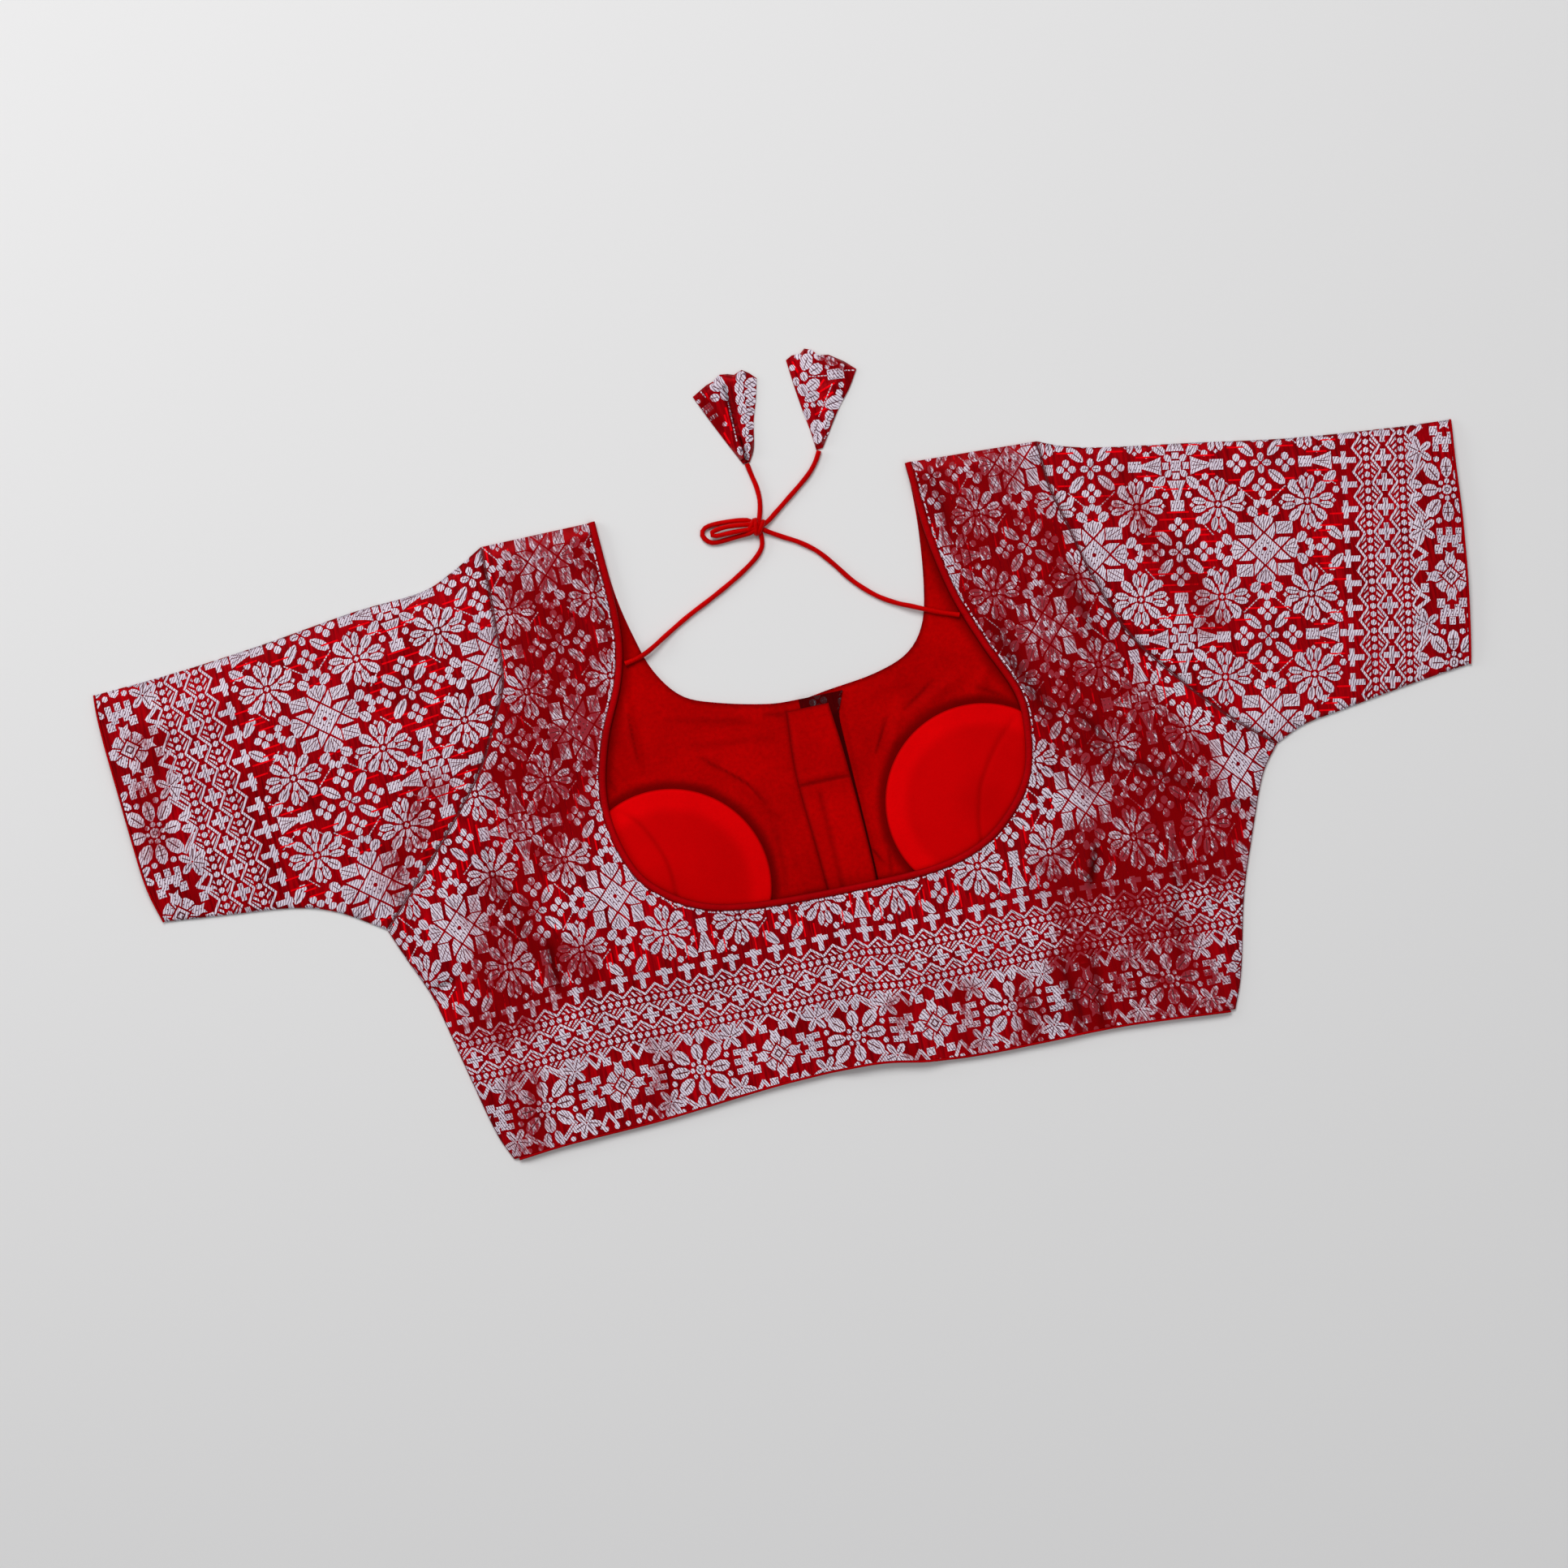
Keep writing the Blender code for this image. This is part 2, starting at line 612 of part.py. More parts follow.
def sleeve_ring(spot, along, inward):
    """One ring round the flattened sleeve: its outer face, or its inner face a wall further in."""
    width = (spot(1.0, along) - spot(0.0, along)).length
    edge = inward / width
    start = (inward + EDGE_ROUNDING) / width
    shares = [start + (1 - 2 * start) * i / SLEEVE_ACROSS for i in range(SLEEVE_ACROSS + 1)]
    ring = [(*spot(edge, along), FOLDED_EDGE_HEIGHT / 2)]
    for share in shares:
        point = spot(share, along)
        ring.append((*point, sleeve_height(point, share, along) - inward))
    ring.append((*spot(1 - edge, along), FOLDED_EDGE_HEIGHT / 2))
    for share in reversed(shares):
        ring.append((*spot(share, along), inward))
    return ring


def make_sleeve(name, edges, left):
    """A flattened tube, open at the cuff and at the armhole, and the edging round its cuff."""
    fold, cuff, underarm, armhole = [smooth_line(edge, EDGE_STEP / 3) for edge in edges]
    outwards = -1 if left else 1
    cuff = [Vector((p.x - outwards * EDGING_INSET, p.y)) for p in cuff]
    armhole = inset(armhole, outwards * (SEAM_GAP + 0.1))
    fold = [cuff[0]] + fold[1:-1] + [armhole[0]]
    underarm = [cuff[-1]] + underarm[1:-1] + [armhole[-1]]
    spot = patch(fold, cuff, underarm, armhole)
    points, faces = [], []
    count = 2 * SLEEVE_ACROSS + 4
    for inward in (0.0, BROCADE):
        for i in range(SLEEVE_RINGS + 1):
            points += sleeve_ring(spot, i / SLEEVE_RINGS, inward)
    rings = SLEEVE_RINGS + 1
    for i in range(SLEEVE_RINGS):
        faces += ring_faces(i * count, (i + 1) * count, count)
        inner = (rings + i) * count
        faces += [face[::-1] for face in ring_faces(inner, inner + count, count)]
    faces += [face[::-1] for face in ring_faces(0, rings * count, count)]
    faces += ring_faces(SLEEVE_RINGS * count, (2 * rings - 1) * count, count)
    if not left:
        faces = [face[::-1] for face in faces]
    add_mesh(name, points, faces, RED_BROCADE)
    make_cuff_edge(name.replace("sleeve", "cuff_edge"), spot, outwards)


def make_cuff_edge(name, spot, outwards):
    outer = sleeve_ring(spot, 0.0, 0.0)
    inner = sleeve_ring(spot, 0.0, BROCADE)
    path = []
    for a, b in zip(outer, inner):
        middle = (Vector(a) + Vector(b)) / 2
        middle.x += outwards * (SEAM_GAP + EDGING_DIAMETER / 2)
        middle.z = max(middle.z, EDGING_DIAMETER / 2 + 0.02)
        path.append(middle)
    add_cord(name, path, RED_PIPING, diameter=EDGING_DIAMETER, closed=True)


def make_sleeves():
    left_armhole = LEFT_ARMHOLE
    right_armhole = tuple(reversed(RIGHT_ARMHOLE))
    make_sleeve("sleeve_left", (LEFT_SLEEVE_FOLD, LEFT_CUFF, LEFT_UNDERARM, left_armhole), True)
    make_sleeve("sleeve_right", (RIGHT_SLEEVE_FOLD, RIGHT_CUFF, RIGHT_UNDERARM, right_armhole), False)


# Edges, piping, cords and their ends

def make_neck_piping():
    oval = add_profile("piping_profile", PIPING_WIDTH, PIPING_THICKNESS, 8)
    neck = inset(smooth_line(BACK_NECK, OUTLINE_STEP), -(PIPING_WIDTH / 2 + SEAM_GAP))
    path = [Vector((*p, back_height(p) + PIPING_THICKNESS / 2 + 0.05)) for p in neck]
    add_cord("neck_piping", path, RED_PIPING, profile=oval)


def make_hem_edges():
    radius = EDGING_DIAMETER / 2
    hem = shortened(inset(smooth_line(HEM, OUTLINE_STEP), radius), HEM_EDGE_SHORT)
    back = [Vector((*p, back_height(p) + radius)) for p in hem]
    add_cord("hem_edge_back", back, RED_PIPING, diameter=EDGING_DIAMETER)
    for name, left in (("left", True), ("right", False)):
        centre = CENTRE_FRONT + (-SEAM_GAP if left else SEAM_GAP)
        half = cut_at_centre(hem, left, centre)
        path = [Vector((*p, radius + 0.02)) for p in half]
        add_cord("hem_edge_front_" + name, path, RED_PIPING, diameter=EDGING_DIAMETER)


def make_cords():
    for name, rows in CORD_ROUTES.items():
        add_cord(name, smooth_line(rows, TIE_STEP), RED_CORD, diameter=TIE_DIAMETER)
    bpy.ops.mesh.primitive_uv_sphere_add(segments=16, ring_count=10, radius=1.0)
    knot = bpy.context.object
    knot.name = "bow_knot"
    knot.data.name = "bow_knot"
    knot.data.materials.append(material("bow_knot", RED_CORD, 0.6, 0.2))
    for owner in list(knot.users_collection):
        owner.objects.unlink(knot)
    collection.objects.link(knot)
    knot.data.shade_smooth()
    knot.scale = Vector(KNOT_HALF_SIZE) * MM
    knot.rotation_euler.z = KNOT_TURN
    knot.location = Vector(KNOT_MIDDLE) * MM


def make_latkans():
    """Each end is brocade folded into a fan, thicker along the pleat down its middle."""
    for name, rows in CORD_ENDS.items():
        points, faces = [], []
        count = 2 * (LATKAN_ACROSS + 1)
        for x0, y0, x1, y1, pleat in rows:
            shares = [i / LATKAN_ACROSS for i in range(LATKAN_ACROSS + 1)]
            upper = []
            for share in shares:
                ridge = 1 - abs(2 * share - 1)
                height = LATKAN_EDGE_HEIGHT + (pleat - LATKAN_EDGE_HEIGHT) * ridge
                upper.append((x0 + (x1 - x0) * share, y0 + (y1 - y0) * share, height))
            points += upper + [(x, y, 0.0) for x, y, _ in reversed(upper)]
        last = (len(rows) - 1) * count
        for i in range(len(rows) - 1):
            faces += ring_faces(i * count, (i + 1) * count, count)
        faces.append(tuple(range(count - 1, -1, -1)))
        faces.append(tuple(range(last, last + count)))
        add_mesh(name, points, faces, RED_BROCADE)


def centre_on_origin():
    """Moves every object alike, so that the garment without its cords stands centred on the origin."""
    bpy.context.view_layer.update()
    graph = bpy.context.evaluated_depsgraph_get()
    corners = []
    for obj in collection.objects:
        if obj.hide_render or obj.name in CORD_PIECES:
            continue
        shape = obj.evaluated_get(graph)
        corners += [shape.matrix_world @ Vector(corner) for corner in shape.bound_box]
    middle_x = (min(c.x for c in corners) + max(c.x for c in corners)) / 2
    middle_y = (min(c.y for c in corners) + max(c.y for c in corners)) / 2
    for obj in collection.objects:
        obj.location.x -= middle_x
        obj.location.y -= middle_y


def main():
    for obj in list(bpy.data.objects):
        bpy.data.objects.remove(obj, do_unlink=True)
    bpy.context.scene.collection.children.link(collection)
    make_back()
    make_fronts()
    make_placket()
    make_cups()
    make_sleeves()
    make_neck_piping()
    make_hem_edges()
    make_cords()
    make_latkans()
    centre_on_origin()


main()
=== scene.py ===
import math

import bpy
import numpy as np
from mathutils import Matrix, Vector
from mathutils.geometry import delaunay_2d_cdt, intersect_line_line_2d


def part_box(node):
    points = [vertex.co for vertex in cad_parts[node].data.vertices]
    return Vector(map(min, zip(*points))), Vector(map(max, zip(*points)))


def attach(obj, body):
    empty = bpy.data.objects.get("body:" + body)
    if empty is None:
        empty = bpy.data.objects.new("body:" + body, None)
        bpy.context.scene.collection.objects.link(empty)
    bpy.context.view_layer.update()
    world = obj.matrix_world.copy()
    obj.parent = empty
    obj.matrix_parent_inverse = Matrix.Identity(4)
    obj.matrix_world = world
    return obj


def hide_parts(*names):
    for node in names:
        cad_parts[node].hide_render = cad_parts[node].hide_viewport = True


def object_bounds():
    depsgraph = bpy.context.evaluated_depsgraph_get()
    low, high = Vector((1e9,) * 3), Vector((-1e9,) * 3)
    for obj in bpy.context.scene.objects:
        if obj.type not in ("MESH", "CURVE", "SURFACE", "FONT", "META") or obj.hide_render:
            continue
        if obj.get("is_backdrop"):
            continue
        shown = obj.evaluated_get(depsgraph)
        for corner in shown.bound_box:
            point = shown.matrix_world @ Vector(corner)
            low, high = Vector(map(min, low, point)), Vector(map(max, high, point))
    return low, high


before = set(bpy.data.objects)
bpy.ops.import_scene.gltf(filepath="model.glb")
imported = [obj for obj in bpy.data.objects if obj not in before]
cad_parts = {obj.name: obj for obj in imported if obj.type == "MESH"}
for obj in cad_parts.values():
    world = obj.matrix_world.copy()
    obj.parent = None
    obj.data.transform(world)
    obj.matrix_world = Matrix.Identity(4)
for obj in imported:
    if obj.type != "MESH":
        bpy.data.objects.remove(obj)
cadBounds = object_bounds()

# Looks of the brocade blouse that lies flat with its back up: cloth, cups, trims, cords, light and camera.
# Sizes are in millimetres in the garment's own frame, as in the solid model: x across, y to the shoulders.

mm = 0.001
cups = {"left": (-93, -26, 58), "right": (94, -14, 57)}  # x and y of the middle, radius
cupMiddle = (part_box("cup_left")[0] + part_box("cup_left")[1]) / 2
shift = (cupMiddle.x / mm - cups["left"][0], cupMiddle.y / mm - cups["left"][1], 0)


def toModel(points):  # from the garment's frame to the model's
    return (np.asarray(points, float) + shift) * mm


def linked(name, data):
    obj = bpy.data.objects.new(name, data)
    bpy.context.scene.collection.objects.link(obj)
    return obj


# Camera and light

cameraSet = {"aim": (-16.9, 19.9), "up": (0.208, 0.978), "width": 908, "lens": 85, "sensor": 36}


def addCamera():
    data = bpy.data.cameras.new("photoCamera")
    data.lens, data.sensor_width = cameraSet["lens"], cameraSet["sensor"]
    height = cameraSet["width"] * mm * data.lens / data.sensor_width
    camera = linked("photoCamera", data)
    x, y, _ = toModel((*cameraSet["aim"], 0))
    camera.location = (x, y, height)
    camera.rotation_euler = (0, 0, math.atan2(-cameraSet["up"][0], cameraSet["up"][1]))
    bpy.context.scene.camera = camera


lightSet = {
    "room": ((0.94, 0.95, 0.96), 0.235),  # colour, strength
    "floorSize": 9,
    "lamps": {  # place in the picture (right, up, height in metres), size, watts, colour
        "key": ((-0.5, 1.5, 2.2), 1.6, 45, (1, 0.99, 0.99)),
        "fill": ((0.9, -0.6, 2), 1.8, 8, (0.99, 0.99, 1)),
        "rake": ((-1.8, 0.5, 0.75), 0.9, 8, (1, 1, 1)),
    },
}


def addLights():
    scene = bpy.context.scene
    scene.world = scene.world or bpy.data.worlds.new("softRoom")
    scene.world.use_nodes = True
    colour, strength = lightSet["room"]
    background = scene.world.node_tree.nodes["Background"]
    background.inputs["Color"].default_value = (*colour, 1)
    background.inputs["Strength"].default_value = strength
    ux, uy = cameraSet["up"]
    for name, ((right, up, height), size, watts, tint) in lightSet["lamps"].items():
        data = bpy.data.lights.new(name, "AREA")
        data.shape, data.size, data.energy, data.color = "DISK", size, watts, tint
        lamp = linked(name, data)
        lamp.location = (right * uy + up * ux, -right * ux + up * uy, height)
        lamp.rotation_euler = (-lamp.location).to_track_quat("-Z", "Y").to_euler()
    bpy.ops.mesh.primitive_plane_add(size=lightSet["floorSize"], location=(0, 0, 0))
    floor = bpy.context.object
    floor.name = "paleFloor"
    floor.data.materials.append(newFinish("palePaper", "floor", 0.9, 0.1)[0])
    floor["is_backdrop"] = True
    scene.view_settings.view_transform = "Standard"


# Lines and outlines

def atLength(points, distance):
    for a, b in zip(points, points[1:]):
        length = (b - a).length
        if distance <= length:
            return a.lerp(b, distance / length if length else 0)
        distance -= length
    return points[-1].copy()


def lineLength(points):
    return sum((b - a).length for a, b in zip(points, points[1:]))


def spaced(points, count):
    total = lineLength(points)
    return [atLength(points, total * i / count) for i in range(count)] + [points[-1].copy()]


def smoothLine(rows, step):  # a curve through the rows, with points about a step apart
    knots = [Vector(row) for row in rows]
    if len(knots) == 2:
        return spaced(knots, max(1, round(lineLength(knots) / step)))
    ends = [knots[0] * 2 - knots[1]] + knots + [knots[-1] * 2 - knots[-2]]
    fine = []
    for p0, p1, p2, p3 in zip(ends, ends[1:], ends[2:], ends[3:]):
        for i in range(12):
            t = i / 12
            fine.append(0.5 * (2 * p1 + (p2 - p0) * t + (2 * p0 - 5 * p1 + 4 * p2 - p3) * t * t
                               + (3 * p1 - p0 - 3 * p2 + p3) * t * t * t))
    fine.append(knots[-1])
    return spaced(fine, max(1, round(lineLength(fine) / step)))


def inset(points, distance):  # moved to its left, which is inwards on an outline that runs anticlockwise
    moved = []
    for i, point in enumerate(points):
        ahead = points[min(i + 1, len(points) - 1)] - points[max(i - 1, 0)]
        moved.append(point + Vector((-ahead.y, ahead.x)).normalized() * distance)
    return moved


def crossing(first, second):
    for i in range(len(first) - 1, 0, -1):
        for j in range(len(second) - 1):
            hit = intersect_line_line_2d(first[i - 1], first[i], second[j], second[j + 1])
            if hit:
                return i, j + 1, hit
    return None


def closedOutline(edges, reach=16):  # one loop from edges end to end, each run on or cut to meet the next
    edges = [list(edge) for edge in edges]
    for n, edge in enumerate(edges):
        following = edges[(n + 1) % len(edges)]
        runOn = edge[-1] + (edge[-1] - edge[-2]).normalized() * reach
        leadIn = following[0] + (following[0] - following[1]).normalized() * reach
        found = crossing(edge + [runOn], [leadIn] + following)
        if found:
            i, j, hit = found
            edge[i:] = [hit]
            following[:max(0, j - 1)] = [hit]
    loop = []
    for edge in edges:
        for point in edge:
            if not loop or (point - loop[-1]).length > 0.05:
                loop.append(point)
    if (loop[0] - loop[-1]).length <= 0.05:
        loop.pop()
    return loop


def cutAtCentre(points, keepLeft, centre):
    kept = []
    for a, b in zip(points, points[1:]):
        if (a.x < centre) == keepLeft:
            kept.append(a)
        if (a.x < centre) != (b.x < centre):
            kept.append(a.lerp(b, (centre - a.x) / (b.x - a.x)))
    if (points[-1].x < centre) == keepLeft:
        kept.append(points[-1])
    return kept


def shortened(points, distance):
    total = lineLength(points)
    count = len(points) - 1
    return [atLength(points, distance + (total - 2 * distance) * i / count) for i in range(count + 1)]


# The same for many points at once, held as rows of x, y

def asRows(points):
    return np.array([(p[0], p[1]) for p in points], float)


def toSegment(spots, start, end):  # how far off each spot is, and its share of the way along
    along = end - start
    share = np.clip(((spots - start) @ along) / max(along @ along, 1e-9), 0, 1)
    return np.hypot(*(spots - start - share[:, None] * along).T), share


def distanceTo(spots, line):
    corners = asRows(line)
    best = np.full(len(spots), 1e9)
    for start, end in zip(corners, corners[1:]):
        best = np.minimum(best, toSegment(spots, start, end)[0])
    return best


def nearest(spots, lines):
    return np.min([distanceTo(spots, line) for line in lines], 0)


def fromCup(spots, cup):
    return np.hypot(spots[:, 0] - cup[0], spots[:, 1] - cup[1])


def insideOf(spots, loop):
    within = np.zeros(len(spots), bool)
    corners = asRows(loop)
    for a, b in zip(corners, np.roll(corners, -1, 0)):
        if a[1] != b[1]:
            level = (a[1] > spots[:, 1]) != (b[1] > spots[:, 1])
            within ^= level & (spots[:, 0] < a[0] + (b[0] - a[0]) * (spots[:, 1] - a[1]) / (b[1] - a[1]))
    return within


def eased(value):
    value = np.clip(value, 0, 1)
    return value * value * (3 - 2 * value)


def bell(away, halfWidth):
    return np.exp(-(away / halfWidth) ** 2)


def flatAt(height):
    return lambda spots: np.full(len(spots), height)


def creased(spots, folds):  # folds: x, y of both ends, half width, height (below zero for a trough)
    total = np.zeros(len(spots))
    for x0, y0, x1, y1, halfWidth, height in folds:
        away, share = toSegment(spots, np.array((x0, y0)), np.array((x1, y1)))
        total += height * (1 - 0.45 * np.abs(2 * share - 1) ** 2) * bell(away, halfWidth)
    return total


# Cut edges of the garment

leftShoulder = ((-96.5, 191), (-160, 190.5))
leftArmhole = (
    (-160, 190.5), (-161, 150), (-163.5, 113), (-173, 91), (-187, 65), (-206, 41), (-230, 15), (-259, -15),
)
leftSide = ((-259, -15), (-252, -33), (-241, -60), (-232, -99), (-222, -142), (-214, -161.5))
hemLine = (
    (-214, -161.5), (-180, -158.4), (-123, -156), (-54, -150.3), (0, -149.7), (34, -155), (69, -157.6),
    (138, -158), (172, -160), (211, -163.3),
)
rightSide = ((211, -163.3), (219.5, -141), (230, -99), (241, -68), (255, -33), (267, -16.5))
rightArmhole = (
    (267, -16.5), (242, 6), (217, 35), (196, 65), (183, 100), (175, 132), (169, 158), (167.5, 183.5),
)
rightShoulder = ((167.5, 183.5), (94, 187))
backNeck = (
    (94, 187), (97, 145), (104, 108), (115, 77), (128, 46), (129.5, 24), (124, -3), (110, -23.5), (88, -40),
    (56, -48.3), (0, -49.3), (-46, -47.5), (-76, -42), (-98, -30), (-113, -13.5), (-121.5, 12),
    (-122.3, 38), (-114.5, 68), (-101, 98), (-95.2, 123), (-95, 155), (-96.5, 191),
)
frontNeckRight = ((91, 187.2), (90, 150), (86, 115), (80, 93), (68, 79), (47.5, 71.7), (20, 68), (7, 66))
frontNeckLeft = (
    (7, 66), (-15, 67), (-44, 73.7), (-64, 82), (-77, 99), (-84, 120), (-90, 150), (-92.5, 190.9),
)
leftFold = (
    (-397.3, 153), (-350, 156), (-300, 161), (-240, 169), (-200, 172), (-180, 179.5), (-160, 190.5),
)
leftCuff = ((-397.3, 153), (-397.3, 133), (-394, 83), (-390.5, 40), (-385, 16.5))
leftUnderarm = ((-385, 16.5), (-350, 13), (-310, 8.7), (-285, 1), (-259, -15))
rightFold = ((404.5, 146), (370, 148.5), (310, 155), (255, 164), (205, 172), (182, 177.5), (167.5, 183.5))
rightCuff = ((404.5, 146), (402, 125), (398.5, 85), (393, 43), (386.5, 5.5))
rightUnderarm = ((386.5, 5.5), (350, 1), (310, -5), (285, -9), (267, -16.5))

clothSet = {
    "brocade": 1.1, "lining": 1, "gap": 0.3, "edgeGap": 0.1, "edging": 1.4, "closing": 8, "centreFront": 7,
    "insetAtSeam": 12, "insetAtEdge": 1.5, "insetAtNeck": 0.6, "insetAtHem": 6, "outlineStep": 4,
    "edgingSides": 10,
}
edgingInset = clothSet["edging"] + clothSet["edgeGap"]
liningBottom = clothSet["brocade"] + clothSet["gap"]
onLining = liningBottom + clothSet["lining"] + clothSet["gap"]
sewnEdges = [smoothLine(edge, 9) for edge in (leftShoulder, leftSide, rightSide, rightShoulder)]


# The woven pattern, charted on square tiles: u across, v up, with a star at (0, 0) and the border below.
# A form is (kind, corners). A triangle of the cloth has the kind of the last form over it.

tile = 100
satinKind, zariKind, floatKind, veinKind = range(4)  # ground, metallic thread, float coloured bright as a painted sheen, dark vein
petalEdge = ((-0.5, 0.08), (-0.3, 0.38), (0.04, 0.5), (0.36, 0.36), (0.5, 0))
veinWidth = 0.45


def placed(points, u, v, degrees):
    c, s = math.cos(math.radians(degrees)), math.sin(math.radians(degrees))
    return [(u + a * c - b * s, v + a * s + b * c) for a, b in points]


def atAngle(reach, degrees):
    return reach * math.cos(math.radians(degrees)), reach * math.sin(math.radians(degrees))


def leaf(u, v, degrees, length, width):
    half = [(a * length, b * width) for a, b in petalEdge]
    return [(zariKind, placed([(a, -b) for a, b in half] + half[-2::-1], u, v, degrees))]


def petal(u, v, degrees, length, width, vein=veinWidth):  # points outwards along its angle, with a dark vein
    c, s = math.cos(math.radians(degrees)), math.sin(math.radians(degrees))
    a, b = -0.42 * length, 0.24 * length
    return leaf(u, v, degrees, length, width) + veinLine(u + a * c, v + a * s, u + b * c, v + b * s, vein)


def ring(sides, width, height=None):
    turns = [math.tau * i / sides for i in range(sides)]
    return [(width / 2 * math.cos(a), (height or width) / 2 * math.sin(a)) for a in turns]


def dot(u, v, radius, kind=zariKind, sides=6):
    return [(kind, placed(ring(sides, 2 * radius), u, v, 0))]


def shape(*corners):
    return [(zariKind, list(corners))]


def block(u, v, degrees, width, height, kind=zariKind):
    w, h = width / 2, height / 2
    return [(kind, placed([(-w, -h), (w, -h), (w, h), (-w, h)], u, v, degrees))]


def stroke(u0, v0, u1, v1, width, kind=zariKind):
    length, degrees = math.hypot(u1 - u0, v1 - v0), math.degrees(math.atan2(v1 - v0, u1 - u0))
    return block((u0 + u1) / 2, (v0 + v1) / 2, degrees, length, width, kind)


def veinLine(u0, v0, u1, v1, width=veinWidth):
    return stroke(u0, v0, u1, v1, width, veinKind)


def between(u0, v0, u1, v1, share):
    return u0 + (u1 - u0) * share, v0 + (v1 - v0) * share


def dashes(u0, v0, u1, v1, count, width=0.65):
    forms = []
    for i in range(count):
        start = between(u0, v0, u1, v1, (i + 0.12) / count)
        forms += stroke(*start, *between(u0, v0, u1, v1, (i + 0.82) / count), width)
    return forms


def moved(forms, u, v, degrees=0, mirror=False):
    result = []
    for kind, corners in forms:
        if mirror:
            corners = [(-a, b) for a, b in reversed(corners)]
        result.append((kind, placed(corners, u, v, degrees)))
    return result


def turnedRound(forms, times):
    return [form for i in range(times) for form in moved(forms, 0, 0, 360 * i / times)]


def bothSides(forms):
    return forms + moved(forms, 0, 0, 0, True)


def aboveAndBelow(forms):
    return forms + [(kind, [(a, -b) for a, b in reversed(corners)]) for kind, corners in forms]


def smallDots(radius, *places):
    return [form for u, v in places for form in dot(u, v, radius, veinKind, 4)]


def dottedBlock(u, v, width, height, columns, rows):
    return block(u, v, 0, width, height) + smallDots(0.5, *(
        (u + width * ((i + 0.5) / columns - 0.5), v + height * ((j + 0.5) / rows - 0.5))
        for i in range(columns) for j in range(rows)))


def makeStar():
    ray = shape((9.4, 0.9), (15.2, 6.4), (9, 6.5), (5.6, 4.7))
    fan = shape((0, 10.3), (4.7, 15), (5.7, 17.2), (4.3, 19.4), (2.3, 18.8),
                (0, 20.2), (-2.3, 18.8), (-4.3, 19.4), (-5.7, 17.2), (-4.7, 15))
    fan += veinLine(0, 12, 0, 18.8) + bothSides(veinLine(1.1, 12.6, 3.5, 17.8))
    wing = petal(6.3, 21.9, 38, 7.2, 5.7) + leaf(3.4, 26.2, 74, 5, 4)
    arm = fan + bothSides(ray + wing) + leaf(0, 27.6, 90, 4.2, 3.8)
    corner = block(12.1, 12, 0, 7, 9.6) + veinLine(9.8, 8.2, 14.4, 15.8)
    corner += veinLine(9.4, 12, 12, 16.2, 0.35) + veinLine(12.2, 7.8, 14.8, 12, 0.35)
    diamond = block(0, 0, 45, 12.6, 12.6) + smallDots(0.6, *(
        between(*atAngle(4.9, 90 * side), *atAngle(4.9, 90 * side + 90), share)
        for side in range(4) for share in (0, 0.33, 0.67)))
    return turnedRound(arm, 4) + bothSides(aboveAndBelow(corner)) + diamond + dot(0, 0, 1.4, satinKind)


def makeRosette():
    quarter = petal(*atAngle(11.4, -12), -9, 8.4, 4.2, 0.5) + petal(*atAngle(11.4, 12), 9, 8.4, 4.2, 0.5)
    quarter += petal(*atAngle(10.9, 45), 45, 8.8, 5.5, 0.6) + block(15.4, 0, 45, 2, 2)
    quarter += shape((2.4, -0.9), (6.6, -2), (7.2, 0), (6.6, 2), (2.4, 0.9))
    quarter += shape((2.4, 1.6), (5.6, 3.3), (5.3, 5.3), (3.3, 5.6), (1.6, 2.4))
    return turnedRound(quarter, 4) + block(0, 0, 45, 2.2, 2.2)


def makeQuatrefoil():
    quarter = petal(0, 3.6, 90, 5.2, 3.9) + petal(8.4, 8.9, 48, 12.4, 5.8, 0.6)
    quarter += leaf(12.4, 18, 90, 4.6, 4.3)
    for angle in (0, 90, 180, 270):
        across, up = atAngle(3.5, angle)
        quarter += leaf(across, 14.3 + up, angle, 4.7, 4.4)
    return turnedRound(quarter, 4)


def makeTriangles():
    quarter = shape((-5.4, 8.6), (5.4, 8.6), (3.6, 12.6), (1.2, 20), (-1.2, 20), (-3.6, 12.6))
    quarter += veinLine(0, 9.6, 0, 18) + bothSides(veinLine(2.6, 9.6, 0.5, 15.4, 0.35))
    quarter += petal(10, 9.6, 46, 9.4, 5.8) + leaf(4.5, 4.5, 45, 5, 3.8) + bothSides(dot(6.8, 17, 2.1))
    middle = turnedRound(block(0, 5.9, 0, 4, 3.6), 4) + dottedBlock(0, 0, 6, 6, 2, 2)
    return turnedRound(quarter, 4) + middle


def makeFloats():  # satin that lies on top in long stitches, coloured bright as a painted sheen
    places = (
        (40.5, 14.5, 10), (12.5, 39.5, 13), (36.5, 46, 10), (20.5, 5.5, 9), (5.5, 32.5, 9), (34, 8.5, 9),
        (44.5, 33, 12), (19, 43.5, 9), (38, 40, 9), (9.5, 35.5, 7), (23, 48, 9),
    )
    forms = [form for u, v, length in places for form in block(u, v, 90, length, 0.95, floatKind)]
    return aboveAndBelow(bothSides(forms))


def makeLinks():  # dashed threads between the motifs
    places = (
        (28, 4.5, 36.5, 14, 7), (9, 29.5, 16.5, 36, 5), (43, 33.5, 36, 43.5, 7),
        (33.5, 15.5, 39.5, 21.5, 4),
    )
    return aboveAndBelow(bothSides([form for row in places for form in dashes(*row)]))


